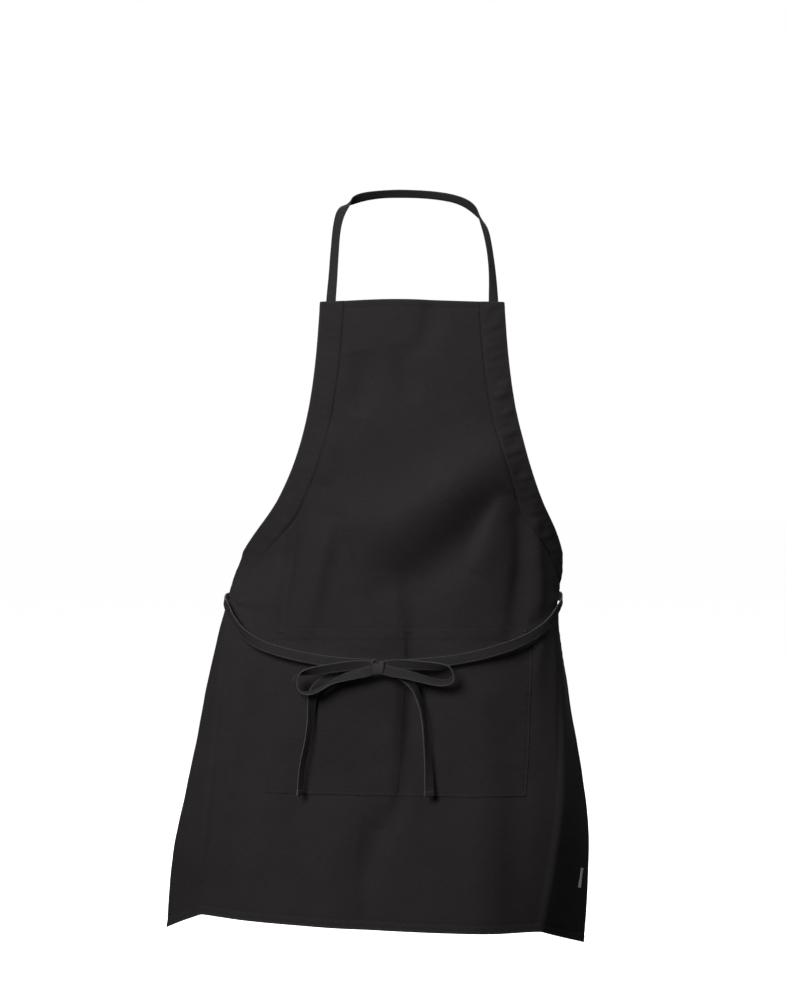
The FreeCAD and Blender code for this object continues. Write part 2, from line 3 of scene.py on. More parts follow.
import bpy
import numpy as np
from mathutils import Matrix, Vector


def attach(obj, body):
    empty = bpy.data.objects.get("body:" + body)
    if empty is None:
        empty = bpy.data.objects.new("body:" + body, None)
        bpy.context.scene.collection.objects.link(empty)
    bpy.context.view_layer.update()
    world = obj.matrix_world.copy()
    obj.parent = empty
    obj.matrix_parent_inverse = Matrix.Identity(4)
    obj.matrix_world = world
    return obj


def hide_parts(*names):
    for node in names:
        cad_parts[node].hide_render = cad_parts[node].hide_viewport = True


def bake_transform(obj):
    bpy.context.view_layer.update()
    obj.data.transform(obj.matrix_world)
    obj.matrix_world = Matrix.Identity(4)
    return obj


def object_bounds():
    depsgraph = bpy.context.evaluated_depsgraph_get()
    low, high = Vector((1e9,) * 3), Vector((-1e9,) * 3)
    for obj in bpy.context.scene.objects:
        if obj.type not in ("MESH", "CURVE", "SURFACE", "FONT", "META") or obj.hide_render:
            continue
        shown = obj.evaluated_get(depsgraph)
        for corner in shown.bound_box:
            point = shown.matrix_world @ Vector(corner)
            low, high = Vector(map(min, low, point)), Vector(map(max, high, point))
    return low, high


# A worn full-length bib apron. Lengths are in millimetres until a mesh is made, in metres.
# The cloth is a flat pattern: "across" is the distance from its centre line, left below 0,
# and "down" the distance below the top of the bib. place() hangs the pattern in space and
# adds the soft folds, hems and seams of the sewn cloth.

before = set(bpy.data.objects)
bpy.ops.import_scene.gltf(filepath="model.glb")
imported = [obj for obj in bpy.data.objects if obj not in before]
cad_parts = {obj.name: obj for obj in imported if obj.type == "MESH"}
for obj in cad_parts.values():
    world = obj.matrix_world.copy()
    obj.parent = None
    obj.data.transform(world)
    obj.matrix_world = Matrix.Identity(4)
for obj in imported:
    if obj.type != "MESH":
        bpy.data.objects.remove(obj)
cad_low, cad_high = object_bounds()
MM = 0.001
SIDES = (("left", -1), ("right", 1))

# The flat pattern and its drape have the CAD model's sizes. Only the pouch's belly is flatter.
PANEL_LENGTH, BIB_DROP, CLOTH = 762.0, 147.0, 1.0
# The armhole's edge: distance down and half-width there.
ARMHOLE = [(0, 112), (60, 116.5), (120, 124.5), (180, 139.5), (240, 167), (305, 226)]
CORNER_DOWN, CORNER_HALF = ARMHOLE[-1]
HEM_HALF = 305.0
# How the cloth hangs, in mm and degrees. At each distance down: its middle's x and y, then on
# the left and on the right how far it wraps back and how much it bends at its ridge, and last
# how far the right flap flares past its ridge.
HANG = [
    (0, 1, -150, 45, 0, 45, 0, 0),
    (150, 1, -160, 48, 0, 50, 0, 0),
    (305, -1, -166, 57, 6, 78, 0, 0),
    (370, -3, -163, 34, 36, 71, 22, 0),
    (480, -8, -166, 22, 28, 50, 37, -25),
    (620, -17, -170, 22, 18, 28, 50, -42),
    (762, -30, -172, 34, 8, 50, 34, -62),
]
# The ridges that the side flaps turn back at: distance across, the left one's drift, and width.
RIDGE_LEFT, RIDGE_LEFT_DRIFT, RIDGE_RIGHT, RIDGE_WIDTH = 228.0, 8.0, 200.0, 24.0
WRAP_REACH, WRAP_POWER, ARC_STEPS = 240.0, 1.6, 56
# The skirt's lower edge tilts, and the flaps' edges hang lower, from these distances down.
HANG_SHRINK, HEM_TILT = 0.99, math.tan(math.radians(2.9))
TILT_START, DIP_START = 500.0, 250.0
FLAP_DIP_LEFT, FLAP_DIP_RIGHT = 26.0, 24.0

CHANNEL_WIDTH, CHANNEL_ROOM, MOUTH_OPENS = 30.5, 6.5, 3.2
TOP_HEM, BOTTOM_HEM, SIDE_HEM = 8.0, 10.0, 12.0
POCKET_TOP, POCKET_BOTTOM, POCKET_LEFT, POCKET_RIGHT = 398.0, 599.0, 161.0, 155.0
POCKET_BELLY, MOUTH_HEM, POCKET_EDGE = 9.0, 14.0, 3.0
STRAP_WIDTH, STRAP_THICK = 12.5, 1.6
# The length of strap that is folded back and sewn down at each tail's end.
TAIL_FOLD = 7.0
# The strap's topstitching: the share of half the width that it is from the middle, and how deep
# it sinks, as a share of half the thickness.
STRAP_STITCH, SEAM_SINK = 0.76, 0.64
# How much lighter the strap is painted at its edges, partly wear and partly a painted edge highlight; on
# the neck strap, painted light at its middle where light falls on its top; and how far that goes.
EDGE_WEAR_AND_HIGHLIGHT, NECK_PAINTED_LIGHT, NECK_LIGHT_REACH = 0.8, 0.22, 70.0
LABEL_ACROSS, LABEL_DOWN, LABEL_WIDTH, LABEL_HEIGHT = 276.5, 687.0, 5.0, 23.0
STITCH, STITCH_GAP, THREAD = 2.5, 0.75, 0.27
# Half the panel's thickness, and how much a hem's turned layers add at the back.
PANEL_SKIN, HEM_LAYER = 0.45, 0.75

# The straps' routes, in metres: a control point and the direction of the width at it. The ties
# end inside the knot, the tails start in it, and the loops do both.
NECK_ROUTE = [
    (-0.0981, -0.1409, -0.184, 0.98, -0.20, 0.0),
    (-0.0978, -0.1399, -0.166, 0.98, -0.20, 0.0),
    (-0.0975, -0.1388, -0.147, 0.95, -0.30, 0.0),
    (-0.0950, -0.1280, -0.116, 0.82, -0.57, 0.02),
    (-0.0936, -0.1040, -0.080, 0.80, -0.58, 0.14),
    (-0.0915, -0.0760, -0.048, 0.80, -0.55, 0.20),
    (-0.0855, -0.0460, -0.023, 0.95, -0.30, -0.25),
    (-0.0700, -0.0190, -0.008, -0.20, -0.60, 0.80),
    (-0.0410, -0.0040, -0.001, 0.0, -0.72, 0.70),
    (-0.0080, 0.0005, 0.0005, 0.0, -0.70, 0.71),
    (0.0300, -0.0030, -0.002, 0.0, -0.70, 0.71),
    (0.0600, -0.0170, -0.009, 0.0, -0.65, 0.75),
    (0.0800, -0.0400, -0.023, 0.25, -0.60, 0.75),
    (0.0910, -0.0680, -0.046, -0.78, -0.60, 0.25),
    (0.0960, -0.0980, -0.077, -0.58, -0.78, 0.25),
    (0.0990, -0.1260, -0.113, -0.66, -0.72, 0.20),
    (0.0995, -0.1388, -0.147, -0.95, -0.30, 0.0),
    (0.0998, -0.1399, -0.166, -0.98, -0.20, 0.0),
    (0.1001, -0.1409, -0.184, -0.98, -0.20, 0.0),
]
TIE_FROM_LEFT = [
    (-0.2000, -0.0860, -0.455, 0.60, 0.25, 0.75),
    (-0.2070, -0.0650, -0.461, 0.25, 0.15, 0.95),
    (-0.2110, -0.0340, -0.465, 0.0, 0.1, 1.0),
    (-0.2020, 0.0040, -0.469, 0.0, 0.1, 1.0),
    (-0.1780, 0.0400, -0.472, 0.0, 0.1, 1.0),
    (-0.1390, 0.0690, -0.476, 0.0, 0.05, 1.0),
    (-0.0880, 0.0870, -0.481, 0.0, 0.05, 1.0),
    (-0.0300, 0.0950, -0.487, 0.0, 0.05, 1.0),
    (0.0320, 0.0900, -0.493, 0.0, 0.05, 1.0),
    (0.0880, 0.0730, -0.498, 0.0, 0.05, 1.0),
    (0.1330, 0.0450, -0.502, 0.0, 0.05, 1.0),
    (0.1650, 0.0100, -0.504, 0.0, 0.05, 1.0),
    (0.1805, -0.0280, -0.505, 0.0, 0.05, 1.0),
    (0.1875, -0.0620, -0.506, 0.0, -0.1, 1.0),
    (0.1850, -0.0920, -0.511, -0.1, -0.55, 0.8),
    (0.1760, -0.1130, -0.525, -0.3, -0.85, 0.4),
    (0.1630, -0.1310, -0.540, -0.5, -0.6, 0.65),
    (0.1370, -0.1510, -0.555, -0.42, -0.25, 0.88),
    (0.1010, -0.1685, -0.567, -0.26, 0.0, 0.96),
    (0.0600, -0.1775, -0.576, -0.16, 0.0, 0.98),
    (0.0200, -0.1805, -0.581, -0.06, 0.0, 1.0),
    (-0.0300, -0.1825, -0.583, 0.0, 0.0, 1.0),
    (-0.0370, -0.1835, -0.5845, 0.0, 0.0, 1.0),
]
TIE_FROM_RIGHT = [
    (0.1820, -0.0656, -0.460, -0.35, 0.2, 0.9),
    (0.1860, -0.0400, -0.467, -0.1, 0.1, 0.98),
    (0.1780, -0.0080, -0.472, 0.0, 0.1, 1.0),
    (0.1560, 0.0270, -0.476, 0.0, 0.1, 1.0),
    (0.1200, 0.0580, -0.480, 0.0, 0.05, 1.0),
    (0.0720, 0.0780, -0.484, 0.0, 0.05, 1.0),
    (0.0160, 0.0860, -0.488, 0.0, 0.05, 1.0),
    (-0.0420, 0.0850, -0.492, 0.0, 0.05, 1.0),
    (-0.0980, 0.0740, -0.496, 0.0, 0.05, 1.0),
    (-0.1480, 0.0510, -0.500, 0.0, 0.05, 1.0),
    (-0.1880, 0.0180, -0.503, 0.0, 0.05, 1.0),
    (-0.2150, -0.0220, -0.505, 0.0, 0.05, 1.0),
    (-0.2265, -0.0620, -0.507, 0.0, 0.0, 1.0),
    (-0.2290, -0.0970, -0.508, 0.1, -0.1, 1.0),
    (-0.2258, -0.1200, -0.513, 0.3, -0.5, 0.8),
    (-0.2182, -0.1355, -0.528, 0.4, -0.85, 0.35),
    (-0.2060, -0.1480, -0.545, 0.6, -0.7, 0.5),
    (-0.1840, -0.1570, -0.560, 0.5, -0.25, 0.82),
    (-0.1540, -0.1680, -0.569, 0.25, 0.0, 0.97),
    (-0.1200, -0.1765, -0.576, 0.14, 0.0, 0.99),
    (-0.0860, -0.1810, -0.580, 0.08, 0.0, 1.0),
    (-0.0500, -0.1825, -0.5815, 0.03, 0.0, 1.0),
    (-0.0430, -0.1835, -0.5835, 0.0, 0.0, 1.0),
]
LOOP_LEFT = [
    (-0.0460, -0.1848, -0.5845, 0.0, -0.1, 1.0),
    (-0.0530, -0.1854, -0.583, 0.0, -0.12, 0.99),
    (-0.0720, -0.1875, -0.583, 0.0, -0.30, 0.95),
    (-0.0940, -0.1900, -0.586, 0.1, -0.30, 0.95),
    (-0.1160, -0.1915, -0.589, 0.28, -0.50, 0.82),
    (-0.1360, -0.1915, -0.593, 0.6, -0.75, 0.3),
    (-0.1405, -0.1905, -0.606, 0.42, -0.9, 0.05),
    (-0.1300, -0.1900, -0.617, 0.1, -0.97, -0.2),
    (-0.1130, -0.1900, -0.614, -0.15, -0.95, -0.3),
    (-0.0940, -0.1890, -0.602, -0.2, -0.92, -0.35),
    (-0.0740, -0.1886, -0.5950, -0.15, -0.55, -0.82),
    (-0.0530, -0.1890, -0.5905, 0.0, -0.30, -0.95),
    (-0.0460, -0.1872, -0.5880, 0.0, -0.2, -1.0),
]
LOOP_RIGHT = [
    (-0.0340, -0.1848, -0.5840, 0.0, -0.1, 1.0),
    (-0.0270, -0.1854, -0.582, 0.0, -0.12, 0.99),
    (-0.0080, -0.1878, -0.5815, 0.0, -0.30, 0.95),
    (0.0160, -0.1900, -0.583, 0.0, -0.50, 0.86),
    (0.0360, -0.1915, -0.584, -0.1, -0.75, 0.65),
    (0.0470, -0.1915, -0.586, -0.3, -0.9, 0.3),
    (0.0505, -0.1905, -0.594, 0.0, -1.0, 0.0),
    (0.0465, -0.1900, -0.6025, 0.5, -0.85, -0.3),
    (0.0330, -0.1895, -0.604, 0.3, -0.75, -0.6),
    (0.0140, -0.1890, -0.599, 0.3, -0.6, -0.72),
    (-0.0080, -0.1889, -0.593, 0.15, -0.45, -0.87),
    (-0.0270, -0.1890, -0.590, 0.0, -0.30, -0.95),
    (-0.0340, -0.1872, -0.5875, 0.0, -0.2, -1.0),
]
# Each tail is one strap: its lead out of the knot and the length that hangs from it.
TAIL_LEFT = [
    (-0.0440, -0.1815, -0.5880, 0.0, 0.1, 1.0),
    (-0.0500, -0.1805, -0.589, 0.0, 0.15, 0.99),
    (-0.0720, -0.1785, -0.591, -0.1, 0.15, 0.98),
    (-0.0940, -0.1785, -0.596, -0.35, 0.1, 0.92),
    (-0.1100, -0.1790, -0.606, -0.7, -0.2, 0.7),
    (-0.1180, -0.1798, -0.616, -0.9, -0.4, 0.35),
    (-0.1200, -0.1810, -0.634, -0.70, -0.70, 0.0),
    (-0.1210, -0.1815, -0.652, -0.62, -0.78, 0.0),
    (-0.1240, -0.1810, -0.674, -0.60, -0.80, 0.0),
    (-0.1290, -0.1795, -0.696, -0.62, -0.78, 0.0),
    (-0.1320, -0.1770, -0.718, -0.62, -0.78, 0.0),
    (-0.1330, -0.1765, -0.739, -0.62, -0.78, 0.0),
]
TAIL_RIGHT = [
    (-0.0360, -0.1815, -0.5890, 0.2, 0.0, 1.0),
    (-0.0296, -0.1805, -0.5905, 0.3, 0.0, 0.95),
    (-0.0180, -0.1805, -0.592, 0.3, 0.3, 0.9),
    (-0.0060, -0.1810, -0.599, 0.45, 0.55, 0.7),
    (0.0020, -0.1820, -0.608, 0.5, 0.72, 0.48),
    (0.0070, -0.1825, -0.617, 0.48, 0.82, 0.3),
    (0.0130, -0.1828, -0.636, 0.45, 0.88, 0.1),
    (0.0160, -0.1828, -0.656, 0.45, 0.88, 0.05),
    (0.0180, -0.1823, -0.682, 0.55, 0.83, 0.0),
    (0.0200, -0.1818, -0.711, 0.72, 0.68, 0.0),
    (0.0210, -0.1813, -0.740, 0.92, 0.38, 0.0),
]
# For each piece of the bow, where it would start to follow its own body and where it would do so fully;
# nothing here bends it, and these pieces stay fixed in place.
BENDS = {
    "left_loop": ((-0.0480, -0.188, -0.587), (-0.0590, -0.188, -0.587)),
    "right_loop": ((-0.0320, -0.188, -0.587), (-0.0210, -0.188, -0.587)),
    "left_tail": ((-0.1185, -0.1800, -0.614), (-0.1200, -0.1800, -0.630)),
    "right_tail": ((0.0070, -0.1825, -0.615), (0.0110, -0.1825, -0.631)),
}
# The knot's middle, in mm.
KNOT = np.array([-40.0, -185.0, -586.5])
# The fold that peaks from the knot, a route like the straps'.
KNOT_PEAK = [
    (-0.0485, -0.1860, -0.5835, 0.25, -0.55, -0.8),
    (-0.0465, -0.1880, -0.5775, 0.3, -0.75, -0.5),
    (-0.0435, -0.1885, -0.5755, 0.1, -1.0, 0.0),
    (-0.0405, -0.1880, -0.5785, -0.3, -0.9, 0.3),
    (-0.0365, -0.1865, -0.5835, -0.5, -0.7, 0.5),
]
# Where each tie is squeezed as it goes round the body's side edge.
SQUEEZE_LEFT_TIE, SQUEEZE_RIGHT_TIE = (0.1890, -0.0900, -0.509), (-0.2300, -0.1050, -0.509)

# Soft folds of the worn cloth: height in mm (below 0 a hollow), the reach of its left and
# right flanks, and the (across, down) points that its crest passes through.
FOLDS = [
    (5.0, 34, 40, [(150, 170), (116, 184), (73, 206), (24, 242), (-18, 267), (-80, 290)]),
    (-3.2, 30, 30, [(120, 232), (48, 310), (-11, 346), (-50, 356)]),
    (2.2, 9, 22, [(116, 236), (100, 268), (86, 300), (74, 330)]),
    (2.6, 20, 13, [(-96, 262), (-105, 300), (-114, 353), (-126, 430)]),
    (-1.8, 10, 9, [(-136, 240), (-146, 290), (-152, 350), (-154, 430)]),
    (2.6, 26, 10, [(-16, 330), (-17, 380), (-14, 440), (-12, 520), (-14, 640)]),
    (-1.6, 10, 22, [(6, 350), (7, 420), (9, 500), (6, 600)]),
    (-1.8, 13, 16, [(130, 225), (141, 300), (134, 376), (128, 420)]),
    (1.8, 12, 12, [(152, 240), (164, 320), (168, 390), (160, 480)]),
    (-1.6, 16, 20, [(-66, 60), (-60, 96), (-62, 140)]),
    (-1.2, 14, 18, [(-12, 50), (-7, 90), (-2, 124)]),
    (-1.1, 12, 14, [(26, -10), (20, 30), (12, 64)]),
    (-2.2, 26, 18, [(8, 585), (-22, 640), (-34, 700), (-26, 772)]),
    (2.4, 30, 34, [(-70, 600), (-66, 690), (-60, 790)]),
    (1.8, 26, 26, [(92, 470), (96, 600), (120, 790)]),
    (-1.6, 24, 24, [(140, 560), (150, 660), (170, 790)]),
    (-1.8, 18, 22, [(-178, 420), (-184, 520), (-196, 640), (-210, 780)]),
    (1.2, 18, 16, [(-98, 150), (-104, 184), (-112, 222)]),
    (-1.5, 7, 12, [(-220, 392), (-222, 500), (-226, 620), (-229, 790)]),
    (-1.9, 28, 9, [(204, 400), (201, 520), (195, 640), (188, 820)]),
]
# The tie presses the cloth along these (across, down) points, from the left edge to the right.
TIE_LINE = [(-227, 368), (-196, 392), (-150, 412), (-98, 424), (-36, 430), (30, 430),
            (84, 420), (136, 403), (190, 382), (237, 366)]
# The (across, down) point where the tie draws each side edge in, and how far it does.
PINCHES = [(-229.0, 366.0, 3.0), (236.0, 366.0, 0.5)]
# The folds' heights are times FOLD_DEPTH, and the bib's top edge arches up by TOP_ARCH.
FOLD_DEPTH, TOP_ARCH = 3.3, 3.0


# ---------------------------------------------------------------- cloth geometry

def smooth(x):
    """Rises gently from 0 to 1 as x goes from 0 to 1."""
    x = np.clip(x, 0.0, 1.0)
    return x * x * (3 - 2 * x)


def bump(x, middle, reach):
    """A bell of height 1 about middle."""
    return np.exp(-(((x - middle) / reach) ** 2))


def monotone(points, at):
    """A smooth curve through (place, value) points that doesn't overshoot them."""
    places, values = (np.array(column, float) for column in zip(*points))
    at = np.clip(at, places[0], places[-1])
    steps = np.diff(places)
    rises = np.diff(values) / steps
    product = rises[:-1] * rises[1:]
    rising = product > 0
    total = np.where(rising, rises[:-1] + rises[1:], 1.0)
    inner = np.where(rising, 2 * product / total, 0.0)
    slopes = np.concatenate([rises[:1], inner, rises[-1:]])
    i = np.clip(np.searchsorted(places, at, side="right") - 1, 0, len(steps) - 1)
    x = (at - places[i]) / steps[i]
    start = (1 + 2 * x) * (1 - x) ** 2 * values[i] + x * (1 - x) ** 2 * steps[i] * slopes[i]
    end = x * x * (3 - 2 * x) * values[i + 1] + x * x * (x - 1) * steps[i] * slopes[i + 1]
    return start + end


def half_width(down):
    """Half-width of the flat pattern at a distance below the top of the bib."""
    share = (down - CORNER_DOWN) / (PANEL_LENGTH - CORNER_DOWN)
    below = CORNER_HALF + (HEM_HALF - CORNER_HALF) * share
    return np.where(down <= CORNER_DOWN, monotone(ARMHOLE, down), below)


def drape(across, down):
    """The place in space of points of the flat pattern, before any fold or seam."""
    across, down = np.broadcast_arrays(np.asarray(across, float), np.asarray(down, float))
    columns = [monotone([(r[0], r[c]) for r in HANG], down) for c in range(1, 8)]
    x0, y0, wrap_left, kink_left, wrap_right, kink_right, flare = columns
    left = across < 0
    side = np.where(left, -1.0, 1.0)
    wrap = np.where(left, wrap_left, wrap_right)
    kink = np.where(left, kink_left, kink_right)
    flare = np.where(left, 0.0, flare)
    drift = np.clip((down - CORNER_DOWN) / (PANEL_LENGTH - CORNER_DOWN), 0, 1)
    edge = np.where(left, RIDGE_LEFT + RIDGE_LEFT_DRIFT * drift, RIDGE_RIGHT)
    reach = np.abs(across)
    step = reach / ARC_STEPS
    x = np.zeros(reach.shape)
    y = np.zeros(reach.shape)
    for i in range(ARC_STEPS):
        at = (i + 0.5) * step
        past = np.clip((at - edge) / (HEM_HALF - edge), 0.0, 1.2)
        turn = kink * smooth((at - edge + RIDGE_WIDTH / 2) / RIDGE_WIDTH)
        angle = np.radians(wrap * (at / WRAP_REACH) ** WRAP_POWER + turn + flare * past)
        x += np.cos(angle) * step
        y += np.sin(angle) * step
    past = np.clip((reach - edge) / (HEM_HALF - edge), 0.0, 1.2)
    dip = np.where(left, FLAP_DIP_LEFT, FLAP_DIP_RIGHT)
    dip = dip * smooth((down - DIP_START) / (PANEL_LENGTH - DIP_START))
    tilt = HEM_TILT * smooth((down - TILT_START) / (PANEL_LENGTH - TILT_START))
    z = -BIB_DROP - down * HANG_SHRINK - tilt * side * x - dip * past
    return np.stack([x0 + side * x, y0 + y, z], -1)


def inward(across, down):
    """The cloth's unit normal, pointing from its face to its back."""
    reach = 0.5
    along = drape(across + reach, down) - drape(across - reach, down)
    up = drape(across, down - reach) - drape(across, down + reach)
    normal = np.cross(up, along)
    return normal / np.linalg.norm(normal, axis=-1, keepdims=True)


def armhole_edge(down):
    """The armhole edge's half-width, carried straight on past the waist corner, and its slope."""
    reach = 1.0
    at = np.minimum(down, CORNER_DOWN)
    slope = (half_width(at) - half_width(at - reach)) / reach
    return half_width(at) + slope * np.maximum(down - CORNER_DOWN, 0.0), slope


def armhole_inset(across, down):
    """Distance inside the armhole's edge, square to it, also past the waist corner."""
    edge, slope = armhole_edge(down)
    return (edge - np.abs(across)) / np.hypot(1.0, slope)


def beside_armhole(side, down, inset):
    """The pattern point that lies `inset` inside the armhole's edge, square to it."""
    edge, slope = armhole_edge(down)
    long = np.hypot(1.0, slope)
    return side * (edge - inset / long), down + inset * slope / long


def near_path(across, down, path):
    """Distance from a path, which side of it, and the share of its length at the nearest point."""
    path = np.array(path, float)
    runs = np.linalg.norm(np.diff(path, axis=0), axis=1)
    best = np.full(np.shape(across), np.inf)
    share = np.zeros(np.shape(across))
    side = np.ones(np.shape(across))
    done = 0.0
    for (a0, d0), (a1, d1), run in zip(path, path[1:], runs):
        t = ((across - a0) * (a1 - a0) + (down - d0) * (d1 - d0)) / run ** 2
        t = np.clip(t, 0, 1)
        da, dd = across - a0 - t * (a1 - a0), down - d0 - t * (d1 - d0)
        far = np.hypot(da, dd)
        closer = far < best
        best = np.where(closer, far, best)
        share = np.where(closer, (done + t * run) / runs.sum(), share)
        side = np.where(closer, np.sign((a1 - a0) * dd - (d1 - d0) * da), side)
        done += run
    return best, side, share


def rounded(path, per_run=6):
    """More points on a smooth curve through the path's own."""
    path = np.array(path, float)
    padded = np.vstack([2 * path[0] - path[1], path, 2 * path[-1] - path[-2]])
    made = []
    for i in range(len(path) - 1):
        a, b, c, d = padded[i:i + 4]
        for t in np.linspace(0, 1, per_run, endpoint=False):
            made.append(0.5 * (2 * b + (c - a) * t + (2 * a - 5 * b + 4 * c - d) * t * t
                               + (3 * b - a - 3 * c + d) * t ** 3))
    return np.vstack([made, path[-1:]])


def ripples(across, down, wave, seed, stretch=1.0):
    """Uneven gentle undulation between about -1 and 1, with waves of about one length."""
    draw = np.random.default_rng(seed)
    total = np.zeros(np.shape(across))
    count = 9
    for _ in range(count):
        turn = draw.uniform(0, math.pi)
        length = wave * draw.uniform(0.7, 1.5)
        phase = draw.uniform(0, 2 * math.pi)
        lies = (across * math.cos(turn) * stretch + down * math.sin(turn)) * 2 * math.pi / length
        total += np.sin(lies + phase)
    return total / math.sqrt(count) / 1.4


def folds(across, down):
    """The soft folds of the worn cloth, in mm towards the front."""
    total = np.zeros(np.shape(across))
    for height, left_reach, right_reach, path in FOLDS:
        far, side, share = near_path(across, down, rounded(path))
        reach = np.where(side > 0, left_reach, right_reach)
        fades = np.clip(np.sin(math.pi * share), 0, 1) ** 0.7
        total += FOLD_DEPTH * height * np.exp(-((far / reach) ** 2)) * fades
    broad, fine = ripples(across, down, 120.0, 3), ripples(across, down, 46.0, 5)
    total += 0.5 * broad + 0.22 * fine
    return total


def pinch_pleats(across, down):
    """Small pleats that spread from where the tie draws each side edge in."""
    for edge_across, edge_down, _ in PINCHES:
        beside, below = across - edge_across, down - edge_down
        away = np.hypot(beside, below)
        turn = np.arctan2(below, np.abs(beside) * 0.7 + 1e-6)
        yield 1.5 * np.cos(7.0 * turn) * smooth(away / 22.0) * np.exp(-away / 34.0)


def channel_relief(across, down, inset):
    """The channel's puffed and puckered strip, the groove of its seam and the puckers beside it."""
    share = np.clip(inset / CHANNEL_WIDTH, 0, 1)
    puff = (4 * share * (1 - share)) ** 0.7
    along = down + 0.35 * np.abs(across)
    pull = ripples(along, np.where(across < 0, 900.0, 0.0), 26.0, 8) * smooth(down / 60.0)
    pull += 0.7 * ripples(along, inset * 0.5, 15.0, 11)
    strain = np.where(across > 0, 0.7 + 0.5 * bump(down, 150.0, 70.0), 0.45)
    yield puff * (1.5 + strain * pull)
    yield -1.5 * bump(inset, CHANNEL_WIDTH, 1.3)
    yield 0.18 * bump(inset, CHANNEL_WIDTH + 4.5, 3.0) * ripples(along, inset, 13.0, 14)


def hem_relief(across, down, inset):
    """The grooves of the hems' stitching, and the slanting ripples of the turned cloth."""
    yield -0.35 * bump(down, TOP_HEM, 1.4) * (inset >= CHANNEL_WIDTH)
    skirt = smooth((down - CORNER_DOWN - 20.0) / 25.0)
    bottom = (PANEL_LENGTH - down, across, BOTTOM_HEM, 11.0, 21, 1.0)
    sides = (half_width(down) - np.abs(across), down, SIDE_HEM, 12.0, 22, skirt)
    for from_edge, along, hem, wave, seed, part in (bottom, sides):
        slant = (along - 0.9 * from_edge) * 2 * math.pi / wave
        rope = np.sin(slant + 1.5 * ripples(across, down, 60.0, seed))
        yield -0.4 * part * bump(from_edge, hem, 1.4)
        yield 0.28 * part * rope * smooth(1 - abs(from_edge - (hem / 2 + 0.5)) / (hem / 2 + 2))


def relief(across, down):
    """How far the sewn cloth stands off its plain drape, in mm towards the front."""
    across, down = np.broadcast_arrays(np.asarray(across, float), np.asarray(down, float))
    inset = armhole_inset(across, down)
    total = folds(across, down) * (0.3 + 0.7 * smooth((inset - 4.0) / 34.0))
    far, _, _ = near_path(across, down, rounded(TIE_LINE))
    total = np.where(total > 0, total * (1 - 0.9 * bump(far, 0.0, 20.0)), total)
    total -= 0.7 * bump(far, 0.0, 8.0)
    pouch = bump(across, -3.0, 150.0) * smooth((down - 300.0) / 60.0)
    total = np.where(total > 0, total * (1 - 0.55 * pouch), total)
    for part in (pinch_pleats(across, down), channel_relief(across, down, inset),
                 hem_relief(across, down, inset)):
        for height in part:
            total = total + height
    return total


def gather(across, down):
    """How far the tie draws the side edges in, and the rise of the bib's top edge."""
    beside = half_width(down) - np.abs(across)
    sideways = np.zeros(np.shape(across))
    for edge_across, edge_down, pull in PINCHES:
        near = (np.sign(across) == np.sign(edge_across)) * bump(down, edge_down, 15.0)
        sideways = sideways - np.sign(edge_across) * pull * near * bump(beside, 0.0, 26.0)
    rise = TOP_ARCH * bump(across, -20.0, 62.0) * smooth((50.0 - down) / 50.0)
    return np.stack([sideways, 0 * sideways, rise + 0 * sideways], -1)


def place(across, down, behind=0.0):
    """A point a distance behind the middle of the sewn cloth, or in front if below 0."""
    across, down = np.broadcast_arrays(np.asarray(across, float), np.asarray(down, float))
    behind = np.asarray(behind, float) - relief(across, down)
    return drape(across, down) + gather(across, down) + inward(across, down) * behind[..., None]


def pocket_offset(across, down):
    """How far the pouch stands off the panel: each section has a belly and an open mouth."""
    share = np.where(across < 0, (across + POCKET_LEFT) / POCKET_LEFT, across / POCKET_RIGHT)
    along = np.clip((down - POCKET_TOP) / (POCKET_BOTTOM - POCKET_TOP), 0, 1)
    bulge = np.clip(np.sin(math.pi * np.clip(share, 0.0, 1.0)), 0, 1) ** 1.5
    depth = (0.3 + 0.7 * smooth(along * 2.5)) * smooth((1 - along) / 0.6)
    return CLOTH + POCKET_BELLY * bulge * depth


# ---------------------------------------------------------------- mesh making

def add_mesh(name, points, faces, material, uvs=None, wear_and_painted_light=None):
    """A smooth mesh piece from points in millimetres, with cloth coordinates if given."""
    mesh = bpy.data.meshes.new(name)
    mesh.from_pydata((np.asarray(points, float) * MM).tolist(), [], faces)
    mesh.polygons.foreach_set("use_smooth", [True] * len(mesh.polygons))
    if uvs is not None:
        corners = np.zeros(len(mesh.loops), np.int32)
        mesh.loops.foreach_get("vertex_index", corners)
        layer = mesh.uv_layers.new(name="cloth")
        layer.data.foreach_set("uv", (np.asarray(uvs, float)[corners] / 100.0).ravel())
    if wear_and_painted_light is not None:
        worn_and_lit = mesh.attributes.new("wear_and_painted_light", "FLOAT", "POINT")
        worn_and_lit.data.foreach_set("value", np.asarray(wear_and_painted_light, np.float32))
    mesh.materials.append(material)
    mesh.update()
    piece = bpy.data.objects.new(name, mesh)
    bpy.context.scene.collection.objects.link(piece)
    return piece


